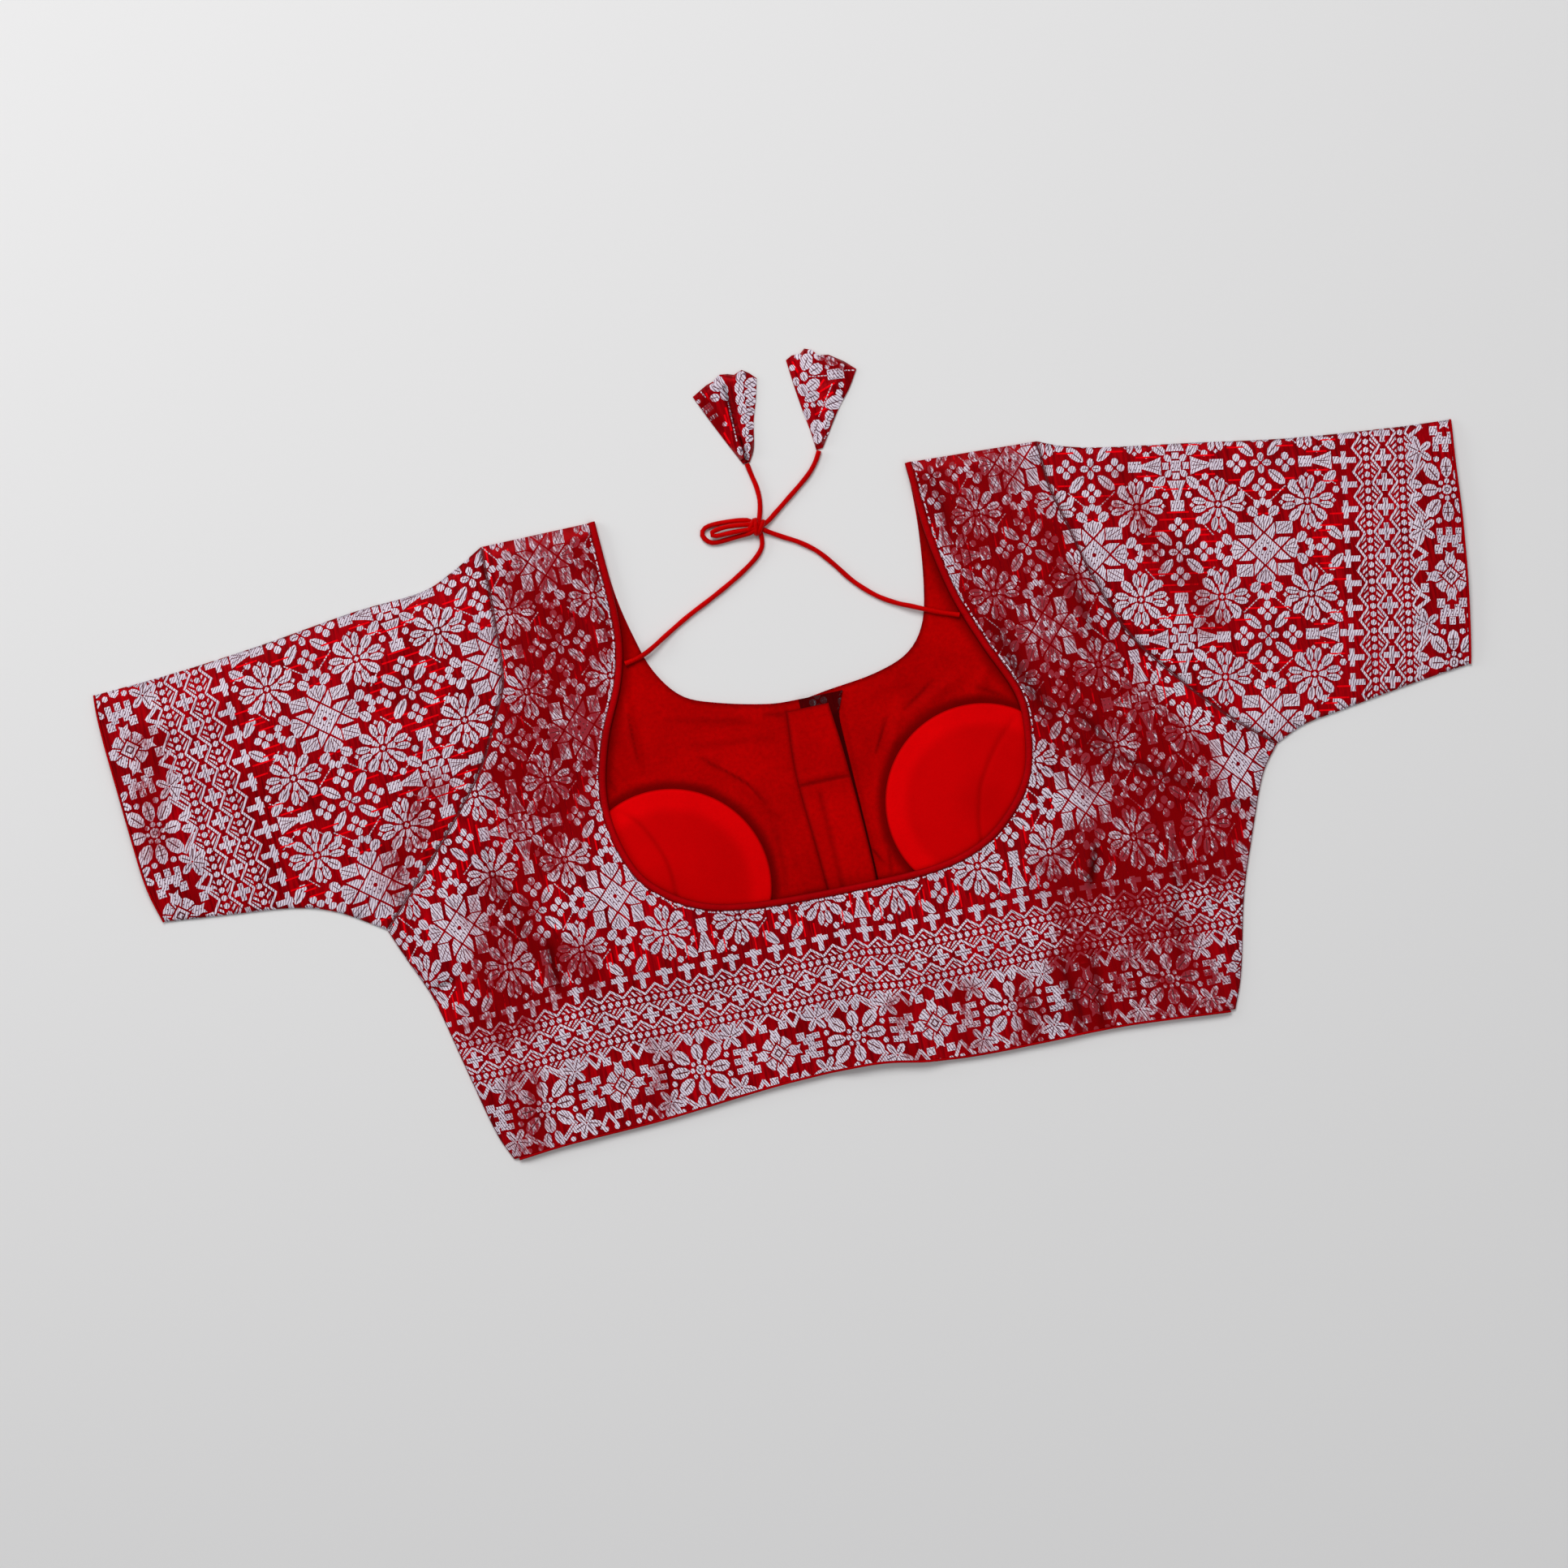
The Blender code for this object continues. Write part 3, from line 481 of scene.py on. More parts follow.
def makeRepeat():
    forms = makeFloats() + makeLinks() + makeStar()
    rosette = makeRosette()
    for u in (-26.8, 26.8):
        for v in (-26.2, 26.2):
            forms += moved(rosette, u, v)
    forms += moved(makeQuatrefoil(), 50, 0) + moved(makeQuatrefoil(), 0, 50) + moved(makeTriangles(), 50, 50)
    for u, v in ((50, 26), (50, -26), (26.8, 50), (-26.8, 50)):
        forms += dottedBlock(u, v, 6.2, 7.8, 2, 3)
    return forms


borderSet = {
    "top": -45.5, "ground": (-71.35, 41.5), "crossRow": -49.4, "plusRow": -71.9, "chevronRows": (-62, -82.4),
    "flowerRow": -108.5, "crosses": 7, "pitch": tile / 7, "crossPhase": 35.4, "plusPhase": 36.2,
    "flower": 30.6, "dottedStar": -19.4, "leaves": (14, -22.2),
    "strips": 28, "strip": (2.4, 8.4, 0.9, 1.75),  # from, to, slant, width
    "clear": (1.6, 5.2),  # where the strips end: height in the zigzag's valleys, and its rise
}


def acrossRow(forms, v, phase):  # the same forms under every cross of a row
    places = [phase + i * borderSet["pitch"] for i in range(borderSet["crosses"])]
    return [form for u in places for form in moved(forms, u, v)]


def bandGround():
    pitch, (middle, height) = borderSet["pitch"], borderSet["ground"]
    return acrossRow(block(0, 0, 0, pitch + 0.1, height, satinKind), middle, pitch / 2)


def herringbone():  # slanting stitches from the middle of a chevron row out to the zigzag
    pitch, phase, count = borderSet["pitch"], borderSet["plusPhase"], borderSet["strips"]
    (low, high, slant, width), (valley, rise) = borderSet["strip"], borderSet["clear"]
    forms = []
    for i in range(count):
        u, reach = tile * i / count, high
        while reach > low:
            share = (u - slant * (reach - low) + width / 2 - phase) / pitch % 1
            if reach < valley + rise * (1 - abs(2 * share - 1)):
                break
            reach -= 0.2
        if reach > low + 0.6:
            top = u - slant * (reach - low)
            for v in borderSet["chevronRows"]:
                for side in (-1, 1):
                    corners = [(top, v + side * reach), (top + width, v + side * reach)]
                    corners += [(u + width, v + side * low), (u, v + side * low)]
                    forms.append((zariKind, corners[::-side]))
    return forms


def zigzag(side):  # a line that rises between the crosses; heights at the peak and at the valley
    half = borderSet["pitch"] / 2
    heights = ((9.4, 9.4), (8.8, 3.6), (7.2, 2), (6.2, 1))
    forms = []
    for kind, outer, inner in zip((satinKind, zariKind, satinKind), heights, heights[1:]):
        corners = [(-half, side * outer[0]), (0, side * outer[1]), (half, side * outer[0])]
        corners += [(half, side * inner[0]), (0, side * inner[1]), (-half, side * inner[0])]
        forms.append((kind, corners[::-side]))
    return forms


def makeFlower():
    forms = dot(0, 0, 2.9, sides=8) + dot(0, 0, 1.6, veinKind) + dot(0, 0, 1)
    quarter = petal(10.5, 8.6, 39, 12, 7.9, 0.8) + leaf(3.7, 18.6, 76, 8, 5.4)
    quarter += veinLine(3.2, 15.6, 4.1, 20, 0.5) + dot(17.8, 5.6, 1.8) + dot(3.9, 3.6, 1.4)
    for share in (-1.6, 0, 1.6):
        quarter += smallDots(0.4, (9.1 + share, 9.6 + 0.8 * share), (10.9 + share, 7.2 + 0.8 * share))
    forms += aboveAndBelow(bothSides(quarter) + petal(0, 10.3, 90, 9.8, 7.5, 0.7) + dot(0, 4.5, 1.4))
    side = petal(12.9, 0, 0, 12, 6.9, 0.8) + dot(5, 0, 1.6) + veinLine(10.4, -2.6, 10.4, 2.6, 0.5)
    return forms + bothSides(side + veinLine(13.4, -2.8, 13.4, 2.8, 0.5))


def makeDottedStar():
    arm = shape((6.4, 0), (9.4, -3.2), (12.2, -2.2), (14.8, -2.8),
                (13.2, 0), (14.8, 2.8), (12.2, 2.2), (9.4, 3.2))
    side = shape((4.7, -3.3), (8.2, -5), (10.4, -2.4), (10.4, 2.4), (8.2, 5), (4.7, 3.3))
    side += smallDots(0.5, (6.4, -1.6), (6.4, 1.6), (8.4, 0), (8.2, -2.9), (8.2, 2.9))
    forms = turnedRound(arm + smallDots(0.5, (9.6, 0), (12, 0)) + moved(side, 0, 0, 45), 4)
    for angle in range(8):
        degrees = 22.5 + 45 * angle
        forms += dottedBlock(*atAngle(16.9, degrees), 5.2, 4.6, 2, 2)
        forms += stroke(*atAngle(4.4, degrees), *atAngle(13, degrees), 0.9, satinKind)
    for size, kind in ((8.6, satinKind), (7.2, zariKind), (4.2, veinKind), (2.6, zariKind)):
        forms += block(0, 0, 45, size, size, kind)
    return forms


def makeSpray():
    forms = []
    for angle, length in ((18, 9.2), (62, 8.8), (118, 8.8), (162, 9.2), (232, 7.8), (308, 7.8)):
        forms += petal(*atAngle(0.6 + length / 2, angle), angle, length, 4.2, 0.6)
    return forms


def makeBorder():
    rows = borderSet
    forms = []
    spine = block(0, 0, 0, rows["pitch"], 4.8, satinKind)
    for share in (-1, 0, 1):
        spine += dot(share * rows["pitch"] / 3, 0, 1.8)
    for v, phase in zip(rows["chevronRows"], (rows["crossPhase"], rows["plusPhase"])):
        forms += acrossRow(zigzag(1), v, phase) + acrossRow(zigzag(-1) + spine, v, rows["plusPhase"])
    cross = block(0, 0.8, 0, 10.4, 2.9) + block(0, -1.6, 0, 3.3, 9.6)
    forms += acrossRow(cross, rows["crossRow"], rows["crossPhase"])
    plus = block(0, 0, 0, 3.3, 9.4) + block(0, 0, 0, 10.2, 2.9) + veinLine(-4.7, 0, 4.7, 0, 0.4)
    forms += acrossRow(plus, rows["plusRow"], rows["plusPhase"])
    star, flower, v = rows["dottedStar"], rows["flower"], rows["flowerRow"]
    forms += moved(makeFlower(), flower, v) + moved(makeDottedStar(), star, v)
    side = moved(makeSpray(), 22.6, 15.2) + moved(makeSpray(), 22.6, -15.2, 180)
    side += aboveAndBelow(stroke(6.8, 21, 16.6, 12.6, 2.7) + stroke(7.6, 20.3, 15.8, 13.3, 0.5, satinKind))
    side += aboveAndBelow(stroke(37.2, 13.2, 31, 21.6, 2.2) + stroke(37, 13.6, 41.8, 21.6, 2.1))
    side += dottedBlock(28.6, 0, 4.2, 14, 2, 5) + dottedBlock(24, 0, 4.4, 3.6, 2, 2)
    side += aboveAndBelow(dottedBlock(24.6, 5.6, 4.6, 3.4, 2, 2) + dottedBlock(32, 3.4, 2.8, 3.8, 1, 2))
    forms += moved(bothSides(side), flower, v)
    count, below = rows["leaves"]
    return forms + [form for i in range(count) for form in leaf(i * tile / count, v + below, 90, 3.2, 3.4)]


def chart(uLow, uHigh, vLow, vHigh):  # every form whose middle is in the window
    columns = range(math.floor(uLow / tile) - 1, math.ceil(uHigh / tile) + 2)
    rows = range(max(-1, math.floor(vLow / tile) - 1), math.ceil(vHigh / tile) + 2)
    repeat, everything = makeRepeat(), []
    for i in columns:
        for j in rows:
            everything += [f for f in moved(repeat, tile * i, tile * j) if middleOf(f)[1] > borderSet["top"]]
    for forms in (bandGround(), herringbone(), makeBorder()):
        for i in columns:
            everything += moved(forms, tile * i, 0)
    return [f for f in everything if uLow < middleOf(f)[0] < uHigh and vLow < middleOf(f)[1] < vHigh]


def middleOf(form):
    return [sum(c) / len(c) for c in zip(*form[1])]


# How the woven chart lies on each piece

bodyChart = {"origin": (-34, -23), "scale": (0.92, 0.995), "window": (-270, 350, -142, 222)}


def onBody(corners):  # the rows sag a little towards the hem, and no thread lies quite straight
    uv = np.array(corners, float)
    x, y = (uv * bodyChart["scale"] + bodyChart["origin"]).T
    drop = 3 * eased((x - 5) / 25) + 3 * eased((x - 130) / 80) + 5 * eased((-x - 130) / 80)
    y = y - drop * eased((-uv[:, 1] - 10) / 35)
    return np.stack([x + 0.8 * np.sin(y / 37 + 1), y + 0.8 * np.sin(x / 41)], 1)


sleeveCharts = {
    "left": {"origin": (-268.5, 112), "u": (0.085, -1), "v": (1.035, 0.125), "window": (-75, 150, -140, 130)},
    "right": {"origin": (283, 95), "u": (0.165, 0.985), "v": (-0.97, 0.17), "window": (-130, 110, -140, 130)},
}


def onSleeve(side):
    rows = sleeveCharts[side]
    basis = np.array((rows["u"], rows["v"]), float)
    return lambda corners: np.array(corners, float) @ basis + rows["origin"]


# Painted shade: places where the metallic thread has turned away from the light, and painted shadow lines in
# the folds:
# x, y of both ends, half width, strength

paintedShadePlaces = (
    (-122, 186, -132, 110, 28, 0.66), (-132, 110, -160, 20, 27, 0.66), (-140, 102, -114, 52, 17, 0.8),
    (-172, 60, -166, 14, 12, 0.7), (-105, 172, -103, 112, 8, 0.7), (-172, -42, -168, -68, 9, 0.95),
    (-150, -52, -151, -68, 9, 0.6), (-200, -118, -204, -150, 11, 0.6), (-186, -10, -206, -80, 20, 0.6),
    (128, 186, 140, 96, 30, 0.58), (140, 96, 168, 18, 33, 0.68), (168, 18, 208, -58, 31, 0.84),
    (107, 176, 116, 104, 9, 0.85), (120, 82, 138, 32, 13, 1.1), (160, 124, 173, 84, 9, 1),
    (150, 50, 166, 12, 10, 1), (172, 44, 214, -14, 14, 1), (184, -32, 206, -64, 12, 0.9),
    (150, -44, 143, -76, 7, 1.1), (128, -108, 128, -160, 13, 1.1), (134, -78, 172, -104, 13, 0.75),
    (150, -70, 178, -150, 34, 0.62), (95, -126, 92, -158, 9, 0.6), (188, -112, 196, -156, 10, 0.6),
    (58, -122, 62, -156, 8, 0.5), (205, 150, 245, 60, 9, 0.35), (-380, 60, -370, 120, 10, 0.35),
    (-215, 60, -250, 10, 10, 0.4), (20, -120, 24, -150, 6, 0.35), (-120, -118, -126, -150, 7, 0.35),
)
paintedFoldShadows = (
    (152, -52, 144, -74, 2.4, 0.95), (121, 86, 127, 60, 6, 0.5), (127, 60, 142, 28, 5, 0.6),
    (158, 26, 172, 4, 3, 0.6), (140, 18, 226, -38, 3, 0.45), (104, 176, 108, 140, 3, 0.4),
    (170, 108, 176, 62, 2.6, 0.5), (-169, -40, -169, -68, 2.6, 0.75), (-241, -54, -224, -50, 1.7, 0.7),
    (249, -48, 233, -44, 1.7, 0.7), (119, -112, 122, -158, 3, 0.5), (137, -112, 134, -158, 2.6, 0.5),
    (96, -130, 94, -158, 2.2, 0.4), (-98, 182, -99, 120, 2.4, 0.4), (-196, 20, -178, -48, 3.5, 0.3),
    (196, -58, 186, -128, 3.2, 0.35),
)
seamShade = (0.4, 1.6)  # strength, half width


# Finishes

# The satin, zari, lining, cup and cord shade colours and shadow are what painted shade and painted shadow mix
# towards; float is the floats' colour, bright as a painted sheen
finishSet = {
    "satinLight": (0.42, 0, 0.003), "satinDark": (0.16, 0, 0.002), "satinShadeColour": (0.195, 0, 0.001),
    "zariLight": (0.80, 0.71, 0.81), "zariDark": (0.17, 0.09, 0.14), "zariShadeColour": (0.30, 0.016, 0.028),
    "float": (0.86, 0, 0.004), "vein": (0.10, 0, 0.004), "shadow": (0.012, 0, 0), "glint": (1, 0.02, 0.03),
    "lining": (0.56, 0, 0), "liningShadeColour": (0.06, 0, 0), "cup": (0.71, 0, 0.001), "cupShadeColour": (0.30, 0, 0),
    "cord": (0.58, 0, 0), "cordShadeColour": (0.25, 0, 0), "piping": (0.42, 0, 0.002), "floor": (0.80, 0.80, 0.80),
}


def colourOf(value):  # a name in the list above, three shares or one grey
    value = finishSet[value] if isinstance(value, str) else value
    return (*value, 1) if isinstance(value, tuple) else (value, value, value, 1)


def newFinish(name, colour, roughness, specular=0.3, glint=1):
    finish = bpy.data.materials.new(name)
    finish.use_nodes = True
    shader = finish.node_tree.nodes["Principled BSDF"]
    shader.inputs["Base Color"].default_value = colourOf(colour)
    shader.inputs["Roughness"].default_value = roughness
    shader.inputs["Specular IOR Level"].default_value = specular
    shader.inputs["Specular Tint"].default_value = colourOf(glint)
    return finish, finish.node_tree, shader


def addNode(tree, kind, vector=None, **values):
    node = tree.nodes.new(kind)
    for key, value in values.items():
        node.inputs[key].default_value = value
    if vector:
        tree.links.new(vector, node.inputs["Vector"])
    return node


def turned(tree, turn, stretch):  # the piece's own coordinates, along the threads
    place = tree.nodes.new("ShaderNodeTexCoord").outputs["Object"]
    node = addNode(tree, "ShaderNodeMapping", place, Rotation=(0, 0, math.radians(turn)), Scale=stretch)
    return node.outputs["Vector"]


def threads(tree, scale, turn=0, stretch=(1, 1, 1)):
    place = turned(tree, turn, stretch)
    return addNode(tree, "ShaderNodeTexNoise", place, Scale=scale, Detail=3, Roughness=0.6).outputs["Fac"]


def ramp(tree, source, *stops):
    node = tree.nodes.new("ShaderNodeValToRGB")
    for element, (position, colour) in zip(node.color_ramp.elements, stops):
        element.position, element.color = position, colourOf(colour)
    tree.links.new(source, node.inputs["Fac"])
    return node.outputs["Color"]


def mixed(tree, share, first, second, mode="MIX"):
    node = tree.nodes.new("ShaderNodeMix")
    node.data_type, node.blend_type = "RGBA", mode
    for key, value in (("Factor", share), ("A", first), ("B", second)):
        if isinstance(value, bpy.types.NodeSocket):
            tree.links.new(value, node.inputs[key])
        else:
            node.inputs[key].default_value = value if key == "Factor" else colourOf(value)
    return node.outputs["Result"]


def coloured(tree, shader, shade, height=None, strength=0, distance=0):  # height: what the bump follows
    tree.links.new(shade, shader.inputs["Base Color"])
    if height:
        node = addNode(tree, "ShaderNodeBump", Strength=strength, Distance=distance)
        tree.links.new(height, node.inputs["Height"])
        tree.links.new(node.outputs["Normal"], shader.inputs["Normal"])


def attribute(tree, name):
    node = tree.nodes.new("ShaderNodeAttribute")
    node.attribute_name = name
    return node.outputs["Fac"]


def withPaintedShade(tree, noise, bright, paintedShadow):  # painted shade where the cloth turns from the light, its threads going dark unevenly, then painted shadow towards near black
    uneven, share = tree.nodes.new("ShaderNodeMath"), tree.nodes.new("ShaderNodeMath")
    uneven.operation, share.operation, share.use_clamp = "MULTIPLY_ADD", "MULTIPLY", True
    uneven.inputs[1].default_value, uneven.inputs[2].default_value = 8, -2.6
    tree.links.new(noise, uneven.inputs[0])
    tree.links.new(attribute(tree, "paintedShade"), share.inputs[0])
    tree.links.new(uneven.outputs["Value"], share.inputs[1])
    return mixed(tree, attribute(tree, "paintedShadow"), mixed(tree, share.outputs["Value"], bright, paintedShadow), "shadow")


def satinFinish(name, turn):
    finish, tree, shader = newFinish(name, "satinDark", 0.36, 0.5, "glint")
    noise, broad = threads(tree, 190, turn, (3.4, 0.25, 1)), threads(tree, 30, turn, (1.3, 0.6, 1))
    ground = ramp(tree, noise, (0.36, "satinDark"), (0.66, "satinLight"))
    shade = mixed(tree, 1, ground, ramp(tree, broad, (0.32, 0.68), (0.68, 1.18)), "MULTIPLY")
    coloured(tree, shader, withPaintedShade(tree, noise, shade, "satinShadeColour"), noise, 0.35, 0.0004)
    return finish


def zariFinish(name, turn):
    finish, tree, shader = newFinish(name, "zariLight", 0.5, 0.12)
    along = (1, 0.5, 1)
    hatch = addNode(tree, "ShaderNodeTexWave", turned(tree, turn, along), Scale=390, Distortion=3, Detail=1)
    hatch.bands_direction = "DIAGONAL"
    noise = threads(tree, 620, turn, along).node
    thread = mixed(tree, 0.55, hatch.outputs["Color"], noise.outputs["Color"])
    silver = ramp(tree, thread, (0.30, "zariDark"), (0.44, "zariLight"))
    tone = ramp(tree, threads(tree, 60, turn), (0.34, (0.84, 0.82, 0.84)), (0.62, 1.04))
    shade = mixed(tree, 1, silver, tone, "MULTIPLY")
    # noise that makes the painted shade on the thread uneven
    shadeSpeckle = threads(tree, 330, turn, (1.6, 0.7, 1))
    coloured(tree, shader, withPaintedShade(tree, shadeSpeckle, shade, "zariShadeColour"), thread, 0.5, 0.0003)
    return finish


def floatFinish(name):
    finish, tree, shader = newFinish(name, "float", 0.3, 0.5, "glint")
    noise = threads(tree, 300, 0, (2, 0.4, 1))
    # painted sheen: the floats run from satinLight up to the bright float colour, and satinDark is the colour
    # of their painted shade
    shade = ramp(tree, noise, (0.25, "satinLight"), (0.45, "float"))
    coloured(tree, shader, withPaintedShade(tree, noise, shade, "satinDark"))
    return finish


def plainCloth(name, light, paintedShadow, scale, roughness, stretch=(1, 1, 1), depth=0.0003, contrast=0.8):
    finish, tree, shader = newFinish(name, light, roughness, 0.25, "glint")
    noise = threads(tree, scale, 0, stretch)
    fine = ramp(tree, noise, (0.3, tuple(contrast * c for c in finishSet[light])), (0.65, light))
    tone = ramp(tree, threads(tree, 22), (0.34, contrast), (0.66, 1.08))
    # painted shade: mixed towards the shade colour by the per-point painted shade share
    shade = mixed(tree, attribute(tree, "paintedShade"), mixed(tree, 1, fine, tone, "MULTIPLY"), paintedShadow)
    coloured(tree, shader, shade, noise, 0.4, depth)
    return finish


# Making sheets of cloth

def hexagonGrid(low, high, step):
    rows = []
    for j, y in enumerate(np.arange(low[1] + step / 2, high[1], step * 0.87)):
        x = np.arange(low[0] + step * (0.25 + 0.5 * (j % 2)), high[0], step)
        rows.append(np.column_stack([x, np.full(len(x), y)]))
    return np.concatenate(rows)


def gridPoints(loop, step, lines=(), finer=None):  # finer: a step and the loop it holds in
    corners, closed = asRows(loop), loop + loop[:1]
    low, high = corners.min(0), corners.max(0)
    spots, clearance = hexagonGrid(low, high, step), 0.5 * (finer[0] if finer else step)
    if finer:
        fineSpots = hexagonGrid(low, high, finer[0])
        spots = np.concatenate([spots[~insideOf(spots, finer[1])], fineSpots[insideOf(fineSpots, finer[1])]])
    spots = spots[insideOf(spots, loop)]
    for line in (closed, *lines):
        spots = spots[distanceTo(spots, line) > clearance]
    if lines:
        extra = np.concatenate([asRows(line) for line in lines])
        extra = extra[insideOf(extra, loop)]
        spots = np.concatenate([spots, extra[distanceTo(extra, closed) > 0.3]])
    return spots


def seamForms(line, distance, width):  # a dark line beside a seam; below zero is to the right of the line
    near, far = inset(line, distance), inset(line, distance + width)
    order = 1 if width > 0 else -1
    return [(veinKind, [tuple(p) for p in corners][::order]) for corners in zip(near, near[1:], far[1:], far)]


def cutSheet(loop, spots, forms):  # triangles inside the outline, each with the kind of the last form over it
    points = [Vector((p[0], p[1])) for p in loop] + [Vector(p) for p in spots]
    faces, kinds = [list(range(len(loop)))], [satinKind]
    for kind, corners in forms:
        faces.append(list(range(len(points), len(points) + len(corners))))
        points += [Vector(c) for c in corners]
        kinds.append(kind)
    flat, _, triangles, _, _, owners = delaunay_2d_cdt(points, [], faces, 1, 0.002)
    kept = [(triangle, kinds[max(owner)]) for triangle, owner in zip(triangles, owners) if 0 in owner]
    used, triangles = np.unique([k[0] for k in kept], return_inverse=True)
    return asRows(flat)[used], triangles.reshape(-1, 3), np.array([k[1] for k in kept])


def keepNear(forms, mapTo, loop):  # the forms laid on a piece, those far from it left out
    corners, kept, middles = asRows(loop), [], []
    low, high = corners.min(0) - 2, corners.max(0) + 2
    for kind, points in forms:
        spots = mapTo(points)
        following = np.roll(spots, -1, 0)
        if (spots[:, 0] * following[:, 1] - following[:, 0] * spots[:, 1]).sum() < 0:
            spots = spots[::-1]
        middle = spots.mean(0)
        if (middle > low).all() and (middle < high).all():
            kept.append((kind, [tuple(s) for s in spots]))
            middles.append(middle)
    middles = np.array(middles)
    near = insideOf(middles, loop) | (distanceTo(middles, loop + loop[:1]) < 5)
    return [form for form, isNear in zip(kept, near) if isNear]


def smoothShade(mesh, degrees=50):
    mesh.shade_smooth()
    mesh.set_sharp_from_angle(angle=math.radians(degrees))


def newPiece(name, points, faces, finishes, kinds=None, paintedShade=None, paintedShadow=None):
    mesh = bpy.data.meshes.new(name)
    mesh.from_pydata(toModel(points).tolist(), [], [list(map(int, f)) for f in faces])
    for finish in finishes:
        mesh.materials.append(finish)
    if kinds is not None:
        mesh.polygons.foreach_set("material_index", np.asarray(kinds, np.int32))
    # two shares per point: painted shade, where threads turn from the light, and painted shadow in folds,
    # seams and gaps
    for key, values in (("paintedShade", paintedShade), ("paintedShadow", paintedShadow)):
        values = np.zeros(len(points)) if values is None else values
        mesh.attributes.new(key, "FLOAT", "POINT").data.foreach_set("value", np.asarray(values, np.float32))
    mesh.validate()
    smoothShade(mesh)
    return linked(name, mesh)


def twoSides(flat, triangles, top, bottom):
    points = np.concatenate([np.column_stack([flat, side(flat)]) for side in (top, bottom)])
    return points, triangles.tolist() + (triangles[:, ::-1] + len(flat)).tolist()


def shellPiece(name, loop, spots, forms, top, bottom, finishes, paintedShade=None, paintedShadow=None):
    flat, triangles, kinds = cutSheet(loop, spots, forms)
    points, faces = twoSides(flat, triangles, top, bottom)
    count = len(flat)
    edges = dict.fromkeys((f[i], f[i - 2]) for f in triangles.tolist() for i in range(3))
    rim = [(a + count, b + count, b, a) for a, b in edges if (b, a) not in edges]
    allKinds = np.concatenate([kinds, kinds, np.zeros(len(rim), int)])
    shades = [np.tile(shade(flat), 2) if shade else None for shade in (paintedShade, paintedShadow)]
    return newPiece(name, points, faces + rim, finishes, allKinds, *shades)


def finishPiece(piece, slotName, *nodes):
    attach(piece, "root")
    if nodes:
        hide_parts(*nodes)


# painted shade near the listed places, up to each place's strength
def paintedShadeNear(spots, places, reach, ragged=0):
    total = np.zeros(len(spots))
    for x0, y0, x1, y1, halfWidth, strength in places:
        away = distanceTo(spots, ((x0, y0), (x1, y1))) + ragged
        total = np.maximum(total, strength * eased((reach * halfWidth - away) / halfWidth))
    return total


def paintedClothShade(spots):  # painted shade where the thread turns from the light, with a ragged edge, and uneven within
    x, y = spots.T
    ragged = 2 * np.sin(x / 7.3 + 1.9 * np.sin(y / 10.1)) + 1.8 * np.sin(y / 5.7 + 1.3 * np.sin(x / 8.9))
    patches = np.sin(x / 4.3 + 2.1 * np.sin(y / 11.7)) * np.sin(y / 6.9 + 1.7 * np.sin(x / 9.1))
    return paintedShadeNear(spots, paintedShadePlaces, 1.45, ragged) * (0.9 + 0.5 * patches)


def paintedFoldAndSeamShadow(spots, seams):  # painted shadow at the folds and in the dip along a seam
    strength, halfWidth = seamShade
    atSeams = strength * bell(nearest(spots, seams), halfWidth)
    return np.clip(np.maximum(atSeams, creased(spots, paintedFoldShadows)), 0, 1)


def tube(path, profile, across=Vector((0, 0, 1)), closed=False, start=0):
    path, count, sides = [Vector(p) for p in path], len(path), len(profile)
    points, faces = [], []
    for i, spot in enumerate(path):
        before = path[i - 1] if i or closed else spot
        after = path[(i + 1) % count] if i < count - 1 or closed else spot
        ahead = (after - before).normalized()
        side = ahead.cross(across).normalized()
        up = side.cross(ahead).normalized()
        points += [tuple(spot + side * a + up * b) for a, b in profile]
    for i in range(count if closed else count - 1):
        for k in range(sides):
            j, m = (i + 1) % count, (k + 1) % sides
            corners = ((i, k), (j, k), (j, m), (i, m))
            faces.append(tuple(start + row * sides + column for row, column in corners))
    if not closed:
        faces += [tuple(range(sides)), tuple(range((count - 1) * sides, count * sides))[::-1]]
    return points, faces


def tubePiece(name, path, finish, profile, closed=False, paintedShade=None):
    return newPiece(name, *tube(path, profile, closed=closed), [finish], None, paintedShade)


def inEditMode(obj, operator, **options):
    bpy.ops.object.select_all(action="DESELECT")
    obj.select_set(True)
    bpy.context.view_layer.objects.active = obj
    bpy.ops.object.mode_set(mode="EDIT")
    bpy.ops.mesh.select_all(action="SELECT")
    operator(**options)
    bpy.ops.object.mode_set(mode="OBJECT")


# Cords first, with the knot and the folded ends

